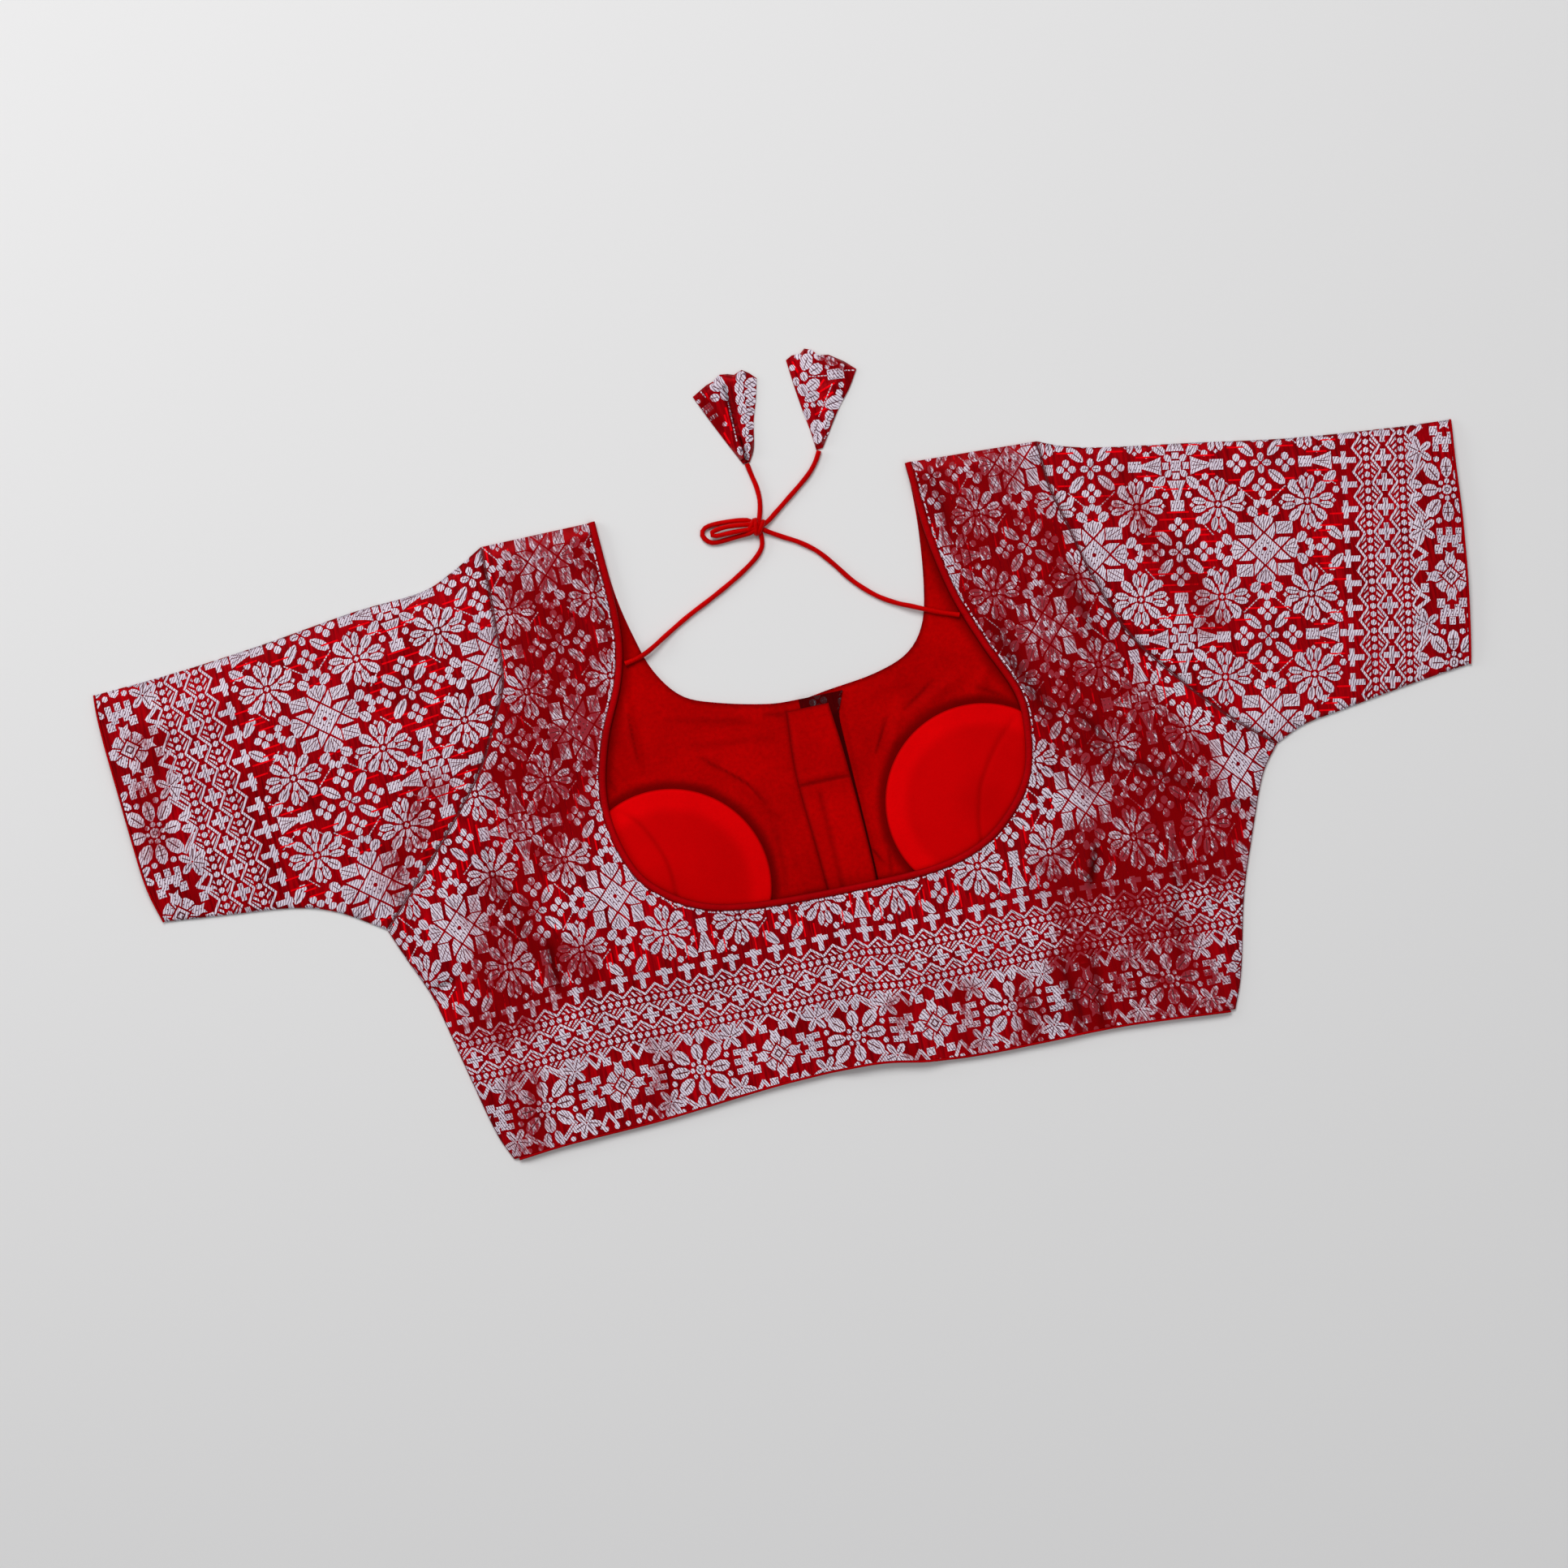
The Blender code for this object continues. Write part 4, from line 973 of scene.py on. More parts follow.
cordSet = {"diameter": 3, "step": 2.5, "thinner": 0.07}  # how much thinner, as a share, where it is pressed
cordRoutes = {  # x, y, height, from the neck edge to the cord end
    "left": (
        (-92.3, 107, 4.5), (-85.5, 108.3, 4.4), (-79, 110.6, 4.3), (-73, 113.8, 3.9), (-66, 118, 2.4),
        (-58, 122.6, 1.6), (-49, 127.4, 1.6), (-38, 132.6, 1.6), (-26, 138.6, 1.6), (-15, 144.8, 1.6),
        (-6, 151, 1.6), (-1, 156.6, 1.6), (0.1, 162.6, 2.3), (-1.2, 168.6, 2.4), (-4.6, 172.8, 2.8),
        (-8.6, 174, 3), (-14, 174.8, 2.2), (-22, 175.2, 1.7), (-30, 174.6, 1.6), (-33.2, 171.4, 1.6),
        (-31.6, 167.2, 1.6), (-27.6, 164.8, 1.6), (-20, 165, 1.7), (-14, 165.4, 2.2), (-9, 165.6, 3),
        (-4.6, 166.2, 4.6), (-0.6, 169, 4.4), (1.2, 173.6, 2.4), (2.8, 179, 1.8), (3.6, 185, 1.6),
        (3.2, 192, 1.6), (1.8, 199, 1.6), (0.6, 205.7, 1.8),
    ),
    "right": (
        (102.6, 94.4, 4.6), (98, 96, 4.4), (90, 99, 4.3), (82.5, 102.4, 4.2), (76, 105.4, 3.8),
        (69, 108.6, 2.4), (60, 114, 1.6), (52, 120.8, 1.6), (45, 128.4, 1.6), (38, 138, 1.6),
        (30, 147.6, 1.6), (21, 154.8, 1.6), (12, 160, 1.6), (4, 164.9, 2.4), (-1, 168.6, 3.8),
        (-4.4, 170.6, 4.8), (-8, 171.2, 4.8), (-14, 171.9, 4.9), (-20, 172.1, 4.7), (-25.6, 171.4, 4.4),
        (-28.2, 169.8, 4.2), (-25.4, 168.2, 4.4), (-20, 168.2, 4.7), (-14, 168.2, 4.9), (-8, 168, 5),
        (-2, 168, 4.6), (4.7, 170, 2.6), (12, 175.2, 1.7), (20, 181.2, 1.6), (28, 187.2, 1.6),
        (35, 193, 1.6), (40, 199, 1.6), (43, 204.3, 1.8),
    ),
}


def addCord(name, rows, finish):
    path = smoothLine(rows, cordSet["step"])
    curve = bpy.data.curves.new(name, "CURVE")
    curve.dimensions = "3D"
    curve.bevel_depth, curve.bevel_resolution = cordSet["diameter"] / 2 * mm, 4
    curve.use_fill_caps = True
    spline = curve.splines.new("POLY")
    spline.points.add(len(path) - 1)
    places = toModel([tuple(p) for p in path])
    for i, (spot, point) in enumerate(zip(spline.points, places)):
        spot.co, spot.radius = (*point, 1), 1 - cordSet["thinner"] * math.sin(i * 0.55) ** 2
    curve.materials.append(finish)
    return linked(name, curve), places[0], lineLength(path) * mm


endSet = {
    "outlineStep": 2.2, "gridStep": 2.4, "edgeHeight": 2.2, "rimHeight": 1.1, "underside": 0.06,
    "pleats": ((0.27, 0.15, 1.5), (0.72, 0.16, 1.7)),  # share of the width, half width, height
}
cordEnds = {  # x, y at the left edge, x, y at the right edge, from the cord outwards
    "left": (
        (-1.6, 206, 2.6, 206.4), (-6, 215, 6.6, 214), (-11.5, 226.5, 9.6, 229), (-17, 238.5, 13.4, 241),
        (-22, 250, 16.4, 253),
    ),
    "right": (
        (41.6, 205.2, 45.6, 205.6), (40.6, 216, 51.6, 214.6), (38.4, 230, 59.6, 226.4),
        (36.6, 245, 68, 236.6), (35.2, 259.6, 74, 246.2),
    ),
}
endTops = {
    "left": (
        (16.4, 253), (13, 256.6), (9, 259.4), (4, 257.6), (0.5, 258.8), (-4, 259.4), (-9, 256.2),
        (-13, 255), (-22, 250),
    ),
    "right": (
        (74, 246.2), (68, 252), (60, 257.6), (54, 258.6), (51, 262.4), (47, 264), (44, 261.6), (39, 261.6),
        (35.2, 259.6),
    ),
}

# The few motifs that show on each cord end: x, y, turn and size, or both ends of a line

endMotifs = {
    "left": {
        "leaves": (
            (7.6, 255.2, 60, 7.9, 5.9), (12.6, 250.8, 20, 8.2, 5.9), (5.4, 249.4, 70, 7.9, 5.6),
            (11, 245.4, 15, 7.9, 5.6), (4.6, 243, 60, 7.2, 5.4), (10.2, 240.2, 20, 6.9, 5.1),
            (4.4, 237, 65, 6.9, 5.1), (8.6, 234.6, 10, 6.2, 4.9), (5, 231, 40, 6.7, 5.1),
            (7, 226.6, 20, 6, 4.6), (3.6, 223.6, 70, 6, 4.1), (5, 219.4, 30, 5.2, 3.9),
            (2.8, 214.6, 80, 5.5, 3.9), (1.6, 210, 90, 5, 3.2), (-5.4, 255.6, 120, 9.2, 5.9),
            (-3.6, 250.6, 100, 7.7, 5.4), (-8, 252.4, 150, 7.4, 4.9), (-4, 246.4, 120, 6.2, 4.4),
            (-1.6, 213.6, 95, 5.5, 3.4), (-9.6, 246.6, 0, 5.7, 4.9),
        ),
        "dots": ((-19.2, 246.6, 1.3), (-7.2, 230.6, 1.5), (-2.6, 235.6, 0.8)),
        "blocks": ((-15.2, 241.4, 25, 6.4, 4.2), (-12.6, 236, 20, 5, 2.2)),
        "dashes": ((-2.6, 243, -2.4, 219, 11), (-17, 252.2, -14.6, 247.6, 3)),
        "floats": (
            (-4.6, 240, -4, 226), (-6.2, 236, -5.6, 229), (-14, 250.4, -13, 244.6), (-8.6, 226, -6.4, 219),
        ),
        # painted shade where the thread turns from the light: x, y of both ends, half width, strength
        "paintedShade": ((-15, 244, -11, 232, 4, 0.9),),
        "pleat": 0.9,
    },
    "right": {
        "leaves": (
            (46.4, 256, 60, 10.4, 7.3), (51, 250.8, 20, 8.7, 6.6), (47.4, 242.2, 25, 9.4, 6.8),
            (41.2, 240.4, 110, 7.9, 6.1), (45.6, 235.6, 15, 9.4, 6.1), (57.6, 229.6, 10, 11.9, 8.1),
            (53, 222.8, 50, 6.7, 5.1), (50.2, 218.2, 60, 6, 4.6), (40.6, 226.6, 80, 6.9, 4.4),
            (44.4, 218, 60, 8.9, 7.3), (43.8, 211.6, 80, 6.9, 5.4), (54.6, 257.4, 150, 7.2, 4.6),
            (60.6, 253.4, 140, 7.9, 5.1), (43.4, 248, 90, 5.5, 4.6), (38.4, 246.2, 90, 5.2, 3.7),
        ),
        "dots": (
            (37.8, 254.4, 1.9), (42.4, 260.2, 2.2), (63.4, 238.8, 1.8), (61.4, 234.6, 2.2),
            (45.2, 230.8, 1.6), (49.4, 231, 1.9), (41.2, 231.4, 1.6), (66, 249.4, 1.6), (50, 261.2, 1.8),
            (57.6, 250.6, 1.4),
        ),
        "blocks": ((61.6, 245.6, -4, 9.6, 6),),
        "dashes": (
            (45.6, 247.4, 56.6, 245.8, 6), (66.8, 246.6, 73, 245.6, 3), (46.8, 223.4, 58.6, 240.6, 10),
            (51, 214, 47, 210, 2),
        ),
        "floats": (
            (49, 237, 60, 240.6), (52, 233.4, 58, 235.6), (45, 225, 52, 227.4), (38.6, 258, 40.4, 251),
            (54.4, 244, 50.6, 240.4),
        ),
        # painted shade where the thread turns from the light: x, y of both ends, half width, strength
        "paintedShade": ((56, 256, 66, 250, 3, 0.7),),
        "pleat": 0,
    },
}


def endForms(side):
    motifs, forms = endMotifs[side], []
    for x0, y0, x1, y1 in motifs["floats"]:
        forms += stroke(x0, y0, x1, y1, 1.1, floatKind)
    for row in motifs["dashes"]:
        forms += dashes(*row)
    for row in motifs["leaves"]:
        forms += petal(*row)
    for x, y, radius in motifs["dots"]:
        forms += dot(x, y, radius)
    for x, y, turn, width, height in motifs["blocks"]:
        forms += moved(dottedBlock(0, 0, width, height, 4, 3), x, y, turn)
    return forms


def addCordEnd(side, finishes):
    rows, motifs = cordEnds[side], endMotifs[side]
    leftEdge = smoothLine([row[0:2] for row in rows], endSet["outlineStep"])
    rightEdge = smoothLine([row[2:4] for row in rows], endSet["outlineStep"])
    top = [Vector(p) for p in endTops[side]]
    loop = closedOutline([rightEdge, top, leftEdge[::-1], [leftEdge[0], rightEdge[0]]], 0.5)
    forms = keepNear(endForms(side), asRows, loop)
    middle = [a.lerp(b, 0.5) for a, b in zip(spaced(leftEdge, 12), spaced(rightEdge, 12))]

    def height(spots):
        left, right = distanceTo(spots, leftEdge), distanceTo(spots, rightEdge)
        share = left / (left + right + 1e-6)
        rise = endSet["edgeHeight"] - endSet["rimHeight"]
        rise += sum(high * bell(share - place, width) for place, width, high in endSet["pleats"])
        rise -= 1.2 * motifs["pleat"] * bell(distanceTo(spots, middle), 1.3)
        return endSet["rimHeight"] + eased(distanceTo(spots, loop + loop[:1]) / 2.2) * rise

    # painted shadow down the pleat in the middle
    def paintedShadow(spots):
        return motifs["pleat"] * bell(distanceTo(spots, middle), 1)

    piece = shellPiece("latkan" + side.title(), loop, gridPoints(loop, endSet["gridStep"], [middle]), forms,
                       height, flatAt(endSet["underside"]), finishes,
                       lambda s: paintedShadeNear(s, motifs["paintedShade"], 1.4), paintedShadow)
    finishPiece(piece, "brocade", "latkan_" + side)
    return piece


knotSet = {
    "centre": (-1.6, 168.6, 3.55), "turn": -20, "count": 28, "sides": 10, "thickness": 2.9,
    # place along the knot, slant, reach, rise
    "wraps": ((-3.1, 1.1, 3.5, 1.75), (-0.3, -0.77, 3.9, 2), (2.7, 0.88, 3.5, 1.7)),
}


def addKnot(finish):
    turn = math.radians(knotSet["turn"])
    along, across = Vector((math.cos(turn), math.sin(turn), 0)), Vector((-math.sin(turn), math.cos(turn), 0))
    points, faces = [], []
    for place, slant, reach, rise in knotSet["wraps"]:
        path = []
        for sideways, up in ring(knotSet["count"], 2):
            path.append(Vector(knotSet["centre"]) + across * (reach * sideways)
                        + along * (place + slant * sideways) + Vector((0, 0, rise * up)))
        wrap = tube(path, ring(knotSet["sides"], knotSet["thickness"]), along, True, len(points))
        points += wrap[0]
        faces += wrap[1]
    knot = newPiece("bowKnot", points, faces, [finish])
    inEditMode(knot, bpy.ops.mesh.normals_make_consistent, inside=False)
    finishPiece(knot, "cord", "bow_knot")
    return knot


print("stage: camera, light and cords")
addCamera()
addLights()
zari, floats = zariFinish("silverThread", 0), floatFinish("satinFloatPaintedSheen")
veins = newFinish("veinThread", "vein", 0.7)[0]
woven = [satinFinish("redSatinGround", 0), zari, floats, veins]
wovenAcross = [satinFinish("redSatinSleeve", 90), zariFinish("silverThreadSleeve", 90), floats, veins]
cordCloth = plainCloth("cordCloth", "cord", "cordShadeColour", 900, 0.45, (1, 0.5, 1))
pipingCloth = plainCloth("pipingCloth", "piping", "satinShadeColour", 700, 0.5, (0.6, 1.6, 1))
knot = addKnot(cordCloth)
for side in ("left", "right"):
    end = addCordEnd(side, woven)
    tie, start, length = addCord("neckCord" + side.title(), cordRoutes[side], cordCloth)
    loopNode = "bow_loop_outer" if side == "left" else "bow_loop_inner"
    finishPiece(tie, "cord", "tie_" + side, "tail_" + side, loopNode)


# The back

backSet = {
    "step": 4, "overCup": 6.4, "cupMargin": 18, "cupShape": 1.2, "overPlacket": 2.6, "placketMiddle": 9,
    "placketReach": 36, "seamDip": 0.9, "dipWidth": 1.3, "ripple": 0.22, "creasesFrom": 9,
    "armholeLine": (0.15, 0.8), "sideLine": (0.1, 0.45),  # dark lines at the seams: how far in, width
}
backFolds = (
    (-168, -44, -172, -150, 11, 1.3), (-190, 20, -150, -60, 16, 1.2), (-130, 165, -140, 70, 15, 1),
    (-60, -70, -40, -140, 18, 0.9), (60, -70, 78, -140, 18, 1), (118, -92, 108, -150, 13, 1.6),
    (150, -46, 158, -150, 11, 1.5), (138, 20, 222, -38, 14, 1.4), (150, 110, 176, 40, 15, 1.3),
    (205, -70, 190, -150, 14, 1),
)
backCreases = (
    (138, 22, 222, -34, 4.5, -0.9), (146, 12, 228, -45, 5, 0.9), (150, 40, 226, -16, 5, 0.7),
    (-168, -46, -173, -148, 2.2, -1), (152, -48, 158, -150, 2.2, -1), (176, 107, 191, 17, 4, 0.9),
    (165, 112, 178, 30, 4, -0.7), (150, 140, 162, 70, 5, 0.8), (132, 150, 150, 90, 5, -0.5),
    (-150, 160, -146, 80, 5, 0.7), (-128, 160, -134, 90, 5, -0.5), (-176, 50, -160, -20, 5, 0.8),
    (-196, 20, -176, -50, 5, -0.6), (-215, 5, -190, -60, 6, 0.8), (95, -118, 92, -156, 4, -0.9),
    (108, -110, 104, -156, 4, 1), (130, -112, 126, -156, 4.5, -0.8), (140, -105, 138, -156, 4, 0.8),
    (-205, -70, -196, -150, 6, 0.7), (-140, -70, -132, -140, 7, 0.5), (-98, -100, -92, -150, 6, -0.5),
    (-20, -80, -24, -140, 7, 0.4), (30, -75, 36, -145, 6, -0.5), (196, -60, 184, -130, 5, -0.7),
    (214, -60, 204, -130, 5, 0.7), (235, -44, 248, -48, 3, -0.6), (-241, -54, -226, -50, 3, -0.6),
    (196, 40, 232, -6, 6, 0.6), (-224, 2, -236, -30, 5, 0.5),
)


def backUnder(spots):
    lift = creased(spots, backFolds)
    for cup in cups.values():
        away = fromCup(spots, cup) / (cup[2] + backSet["cupMargin"])
        dome = backSet["overCup"] * np.clip(1 - away * away, 0, 1) ** backSet["cupShape"]
        lift = np.where(away < 1, np.maximum(lift, dome), lift)
    across = np.abs(spots[:, 0] - backSet["placketMiddle"]) / backSet["placketReach"]
    lift = np.where(across < 1, np.maximum(lift, backSet["overPlacket"] * eased(2 * (1 - across))), lift)
    closing = eased(nearest(spots, sewnEdges) / clothSet["closing"])
    return liningBottom + closing * (onLining + 0.05 - liningBottom + lift)


armholeLines = [smoothLine(leftArmhole, 4), smoothLine(rightArmhole, 4)]
edgeLines = sewnEdges + armholeLines


def backTop(spots):
    near = nearest(spots, edgeLines)
    ripple = backSet["ripple"] * np.sin(spots[:, 0] / 6.3 + 1.4 * np.sin(spots[:, 1] / 19))
    fine = (creased(spots, backCreases) + ripple) * eased(near / backSet["creasesFrom"])
    fine -= backSet["seamDip"] * bell(near, backSet["dipWidth"])
    return backUnder(spots) + clothSet["brocade"] + fine


def backLow(spots):
    return np.minimum(backUnder(spots), backTop(spots) - 0.5)


def bodyEdges(step, hemInset):
    return {
        "leftShoulder": smoothLine(leftShoulder, step), "leftArmhole": smoothLine(leftArmhole, step),
        "leftSide": smoothLine(leftSide, step), "hem": inset(smoothLine(hemLine, step), hemInset),
        "rightSide": smoothLine(rightSide, step), "rightArmhole": smoothLine(rightArmhole, step),
        "rightShoulder": smoothLine(rightShoulder, step),
    }


print("stage: back")
bodyForms = chart(*bodyChart["window"])
step = clothSet["outlineStep"]
neckLoop = smoothLine(backNeck, step)
backLoop = closedOutline([*bodyEdges(step, edgingInset).values(), neckLoop])
guides = [shortened(inset(edge, d), 3) for edge in sewnEdges for d in (1.4, clothSet["closing"])]
guides += [inset(smoothLine(edge, 2.5), 1.3) for edge in (leftArmhole, rightArmhole)]
backForms = keepNear(bodyForms, onBody, backLoop)
for edges, sizes in (((leftArmhole, rightArmhole), "armholeLine"), ((leftSide, rightSide), "sideLine")):
    for edge in edges:
        backForms += seamForms(shortened(smoothLine(edge, 4), 1), *backSet[sizes])
# painted shade where the thread turns from the light, and painted shadow at the folds and the armhole seams
back = shellPiece("backCloth", backLoop, gridPoints(backLoop, backSet["step"], guides), backForms,
                  backTop, backLow, woven, paintedClothShade, lambda s: paintedFoldAndSeamShadow(s, armholeLines))
finishPiece(back, "brocade", "back_panel")
print("back faces", len(back.data.polygons))


# The fronts, and the lining inside them

def halfOutline(side, neckInset=0, seamInset=0, armholeInset=0, hemInset=edgingInset):
    edges, left = bodyEdges(step, hemInset), side == "left"
    shoulder, seam = inset(edges[side + "Shoulder"], seamInset), inset(edges[side + "Side"], seamInset)
    armhole = inset(edges[side + "Armhole"], armholeInset)
    centre = clothSet["centreFront"] + (-clothSet["gap"] / 2 if left else clothSet["gap"] / 2)
    neck = smoothLine(frontNeckLeft if left else frontNeckRight, step)
    hem, neck = [cutAtCentre(line, left, centre) for line in (edges["hem"], inset(neck, neckInset))]
    if left:
        return closedOutline([shoulder, armhole, seam, hem, neck])
    return closedOutline([hem, seam, armhole, shoulder, neck])


liningSet = {
    "step": 4, "fine": 1.6, "rise": 2, "lift": 0.2, "stitchInset": 2.6, "stitchDip": 0.35, "stitchWidth": 0.7,
    # where it is free to crease: beyond how far from the neck, a cup and the placket, and over what width
    "offNeck": (4, 8), "offCup": (1, 5), "offPlacket": (19, 4),
}
frontSet = {"step": 13, "plainEdge": 3}  # the turned edge of the neck has no pattern
liningCreases = (
    (-97, 95, -97, 45, 2.6, 0.8), (-91, 92, -92, 50, 3, -0.5), (-55, 43, -40, 25, 3, 0.7),
    (-40, 25, -25, 5, 3, 0.7), (58, 50, 48, 25, 3, 0.7), (95, 60, 60, 42, 3.4, 0.7),
    (-112, 60, -104, 40, 3, 0.6), (112, 62, 104, 48, 4, 0.7), (-60, 66, -20, 60, 4, 0.4),
    (38, 60, 66, 66, 4, 0.4), (-30, 46, -14, 30, 3, 0.4), (40, 10, 34, -20, 3, 0.6),
    (-26, -4, -20, -36, 3, 0.5),
)
liningShadeLines = (  # painted shade lines in the creases, laid out as the fold shadow table
    (-97, 78, -97, 50, 0.9, 0.5), (-61.6, 45, -48, 34, 0.9, 0.4), (-48, 34, -37, 24, 1, 0.55),
    (-37, 24, -29, 11, 1, 0.5), (48.5, 45, 39, 27, 1, 0.5), (60.7, 48, 79, 60.5, 1, 0.45),
    (-27, -6, -28, -40, 2.4, 0.25), (24, -25, 30, -37, 1, 0.5), (-121, 62, -113, 36, 1.2, 0.5),
    (-64, 52, -20, 48, 2.5, 0.2), (104, 52, 122, 40, 1.6, 0.4), (36, -20, 33, -44, 1.4, 0.4),
    (-20, 62, -4, 58, 1.6, 0.35), (-76, 70, -30, 60, 2.2, 0.2),
)
bandRows = ((-147, -4, 23.5), (-45, -5, 24), (21, -9, 21.5), (60.5, -7, 18))  # y, left, right
bandEdge = smoothLine([(left, y) for y, left, _ in bandRows], step)
neckLines = [smoothLine(frontNeckLeft, step), smoothLine(frontNeckRight, step)]
stitchInset = liningSet["stitchInset"]
stitchLines = [inset(neckLines[0], stitchInset), inset(smoothLine(frontNeckRight[::-1], step), -stitchInset)]


def beyond(away, limits):
    return eased((away - limits[0]) / limits[1])


def liningTop(spots):
    free = beyond(distanceTo(spots, neckLoop), liningSet["offNeck"]) * insideOf(spots, neckLoop)
    for cup in cups.values():
        free = free * beyond(fromCup(spots, cup) - cup[2], liningSet["offCup"])
    free = free * beyond(np.abs(spots[:, 0] - backSet["placketMiddle"]), liningSet["offPlacket"])
    rise = liningSet["rise"] * creased(spots, liningCreases) + liningSet["lift"]
    stitch = liningSet["stitchDip"] * bell(nearest(spots, stitchLines), liningSet["stitchWidth"])
    return liningBottom + clothSet["lining"] + free * rise - stitch


liningShades = {  # strength and half width, if nothing else is said
    "ground": 0.19, "frontNeck": (0.62, 2), "bandEdge": (0.55, 2),
    "cup": (0.8, 9, 8),  # strength, how far past the rim, over what width
    "backNeck": (6, 3, 20, 40),  # half width, what it gains further up, from this y, over this height
    "bandSide": (0.35, 1.6, 25.5, 60),  # strength, half width, x, up to this y
}


def liningShade(spots):
    x, y = spots.T
    strength, reach, width = liningShades["cup"]
    shades = [strength * eased((reach - (fromCup(spots, cup) - cup[2])) / width) for cup in cups.values()]
    for away, (strength, halfWidth) in ((nearest(spots, neckLines), liningShades["frontNeck"]),
                                        (distanceTo(spots, bandEdge), liningShades["bandEdge"])):
        shades.append(strength * bell(away, halfWidth))
    halfWidth, gain, low, over = liningShades["backNeck"]
    shades.append(bell(distanceTo(spots, neckLoop), halfWidth + gain * eased((y - low) / over)))
    strength, halfWidth, place, high = liningShades["bandSide"]
    shades.append(strength * bell(x - place, halfWidth) * (y < high))
    shades.append(liningShades["ground"] + creased(spots, liningShadeLines))
    return np.clip(np.max(shades, 0), 0, 1)


print("stage: fronts and lining")
liningCloth = plainCloth("liningCloth", "lining", "liningShadeColour", 420, 0.7)
for side in ("left", "right"):
    loop = halfOutline(side)
    forms = keepNear(bodyForms, onBody, loop)
    ends = np.cumsum([0] + [len(form[1]) for form in forms])
    clear = nearest(np.concatenate([form[1] for form in forms]), neckLines) > frontSet["plainEdge"]
    forms = [form for form, i, j in zip(forms, ends, ends[1:]) if clear[i:j].all()]
    front = shellPiece("front" + side.title(), loop, gridPoints(loop, frontSet["step"]), forms,
                       flatAt(clothSet["brocade"]), flatAt(0), woven)
    finishPiece(front, "brocade", "front_" + side)
    loop = halfOutline(side, clothSet["insetAtNeck"], clothSet["insetAtSeam"], clothSet["insetAtEdge"],
                       clothSet["insetAtHem"])
    spots = gridPoints(loop, liningSet["step"], stitchLines, (liningSet["fine"], neckLoop))
    lining = shellPiece("lining" + side.title(), loop, spots, [], liningTop, flatAt(liningBottom),
                        [liningCloth], liningShade)
    finishPiece(lining, "lining", "lining_" + side)


# Hook placket

placketSet = {
    "step": 3, "fine": 1.2, "lapShown": 55, "thickness": 1, "stepWidth": 3, "stepLead": 6.5,
    "lapShade": 1, "lapShadow": (0.88, 1),  # painted shade over the whole lap; painted shadow where the lap shows, and where it is hidden
}
lapRows = (  # y, left, right
    (-147, 1.5, 25), (-45, 1.5, 25), (21, 1.5, 23.2), (50, 1.5, 22.4), (57, 1.5, 24), (66, 1.5, 27.5),
)
bandCreases = (
    (-9, 17, 21.5, 17.6, 1.6, -0.5), (-9, 20, 21.5, 20.6, 2, 0.5), (3, 14, 4.4, -45, 1.8, -0.4),
    (14, 40, 16, 30, 3, 0.4), (4, 0, 12, -20, 4, 0.4),
)


def stripOutline(rows):
    spacing = placketSet["step"]
    right = smoothLine([(x1, y) for y, _, x1 in rows], spacing)
    left = smoothLine([(x0, y) for y, x0, _ in reversed(rows)], spacing)
    ends = [smoothLine([a[-1], b[0]], spacing) for a, b in ((right, left), (left, right))]
    return closedOutline([right, ends[0], left, ends[1]])


def bandLow(spots):  # it lies on the lining at the left and steps up on the lap
    share = spots[:, 0] - lapRows[0][1] + placketSet["stepLead"] + placketSet["stepWidth"]
    share = np.clip(share / placketSet["stepWidth"], 0, 1)
    return onLining + (placketSet["thickness"] + clothSet["gap"]) * share


def bandTop(spots):
    edge = distanceTo(spots, bandClosed)
    fine = creased(spots, bandCreases) * eased(edge / 2) - 0.3 * bell(edge, 0.8)
    return bandLow(spots) + placketSet["thickness"] + fine


bandShades = {  # strength, half width, then x or y where the line has one
    "ground": 0.16, "fold": (0.6, 0.9, 17), "edge": (0.6, 1.1), "neck": (0.3, 7, -47),
    "stitches": (0.28, 1.8, 2.6), "stitchSlant": 0.03, "stitchTop": (15, 6),
}


def bandShade(spots):
    x, y = spots.T
    strength, halfWidth, place = bandShades["stitches"]
    top, fade = bandShades["stitchTop"]
    stitches = strength * bell(x - place + bandShades["stitchSlant"] * y, halfWidth) * eased((top - y) / fade)
    fold, neck = [strength * bell(y - place, halfWidth)
                  for strength, halfWidth, place in (bandShades["fold"], bandShades["neck"])]
    strength, halfWidth = bandShades["edge"]
    edge = strength * bell(distanceTo(spots, bandClosed), halfWidth)
    return np.clip(bandShades["ground"] + np.max([stitches, fold, edge], 0) + neck, 0, 1)


print("stage: placket")
lapLoop, bandLoop = stripOutline(lapRows), stripOutline(bandRows)
bandClosed = bandLoop + bandLoop[:1]
lapForms = keepNear(bodyForms, onBody, lapLoop)
lapForms = [form for form in lapForms if min(c[1] for c in form[1]) > placketSet["lapShown"]]
lap = shellPiece(
    "placketLap", lapLoop, gridPoints(lapLoop, placketSet["step"]), lapForms,
    flatAt(onLining + placketSet["thickness"]), flatAt(onLining), woven, flatAt(placketSet["lapShade"]),
    lambda s: np.where(s[:, 1] > placketSet["lapShown"], *placketSet["lapShadow"]))
finishPiece(lap, "brocade", "placket_lap")
spots = gridPoints(bandLoop, placketSet["step"], (), (placketSet["fine"], neckLoop))
band = shellPiece("placketBand", bandLoop, spots, [], bandTop, bandLow, [liningCloth], bandShade)
finishPiece(band, "lining", "placket_band")


# Padded cups: low domes with a soft rim and a pressed crease

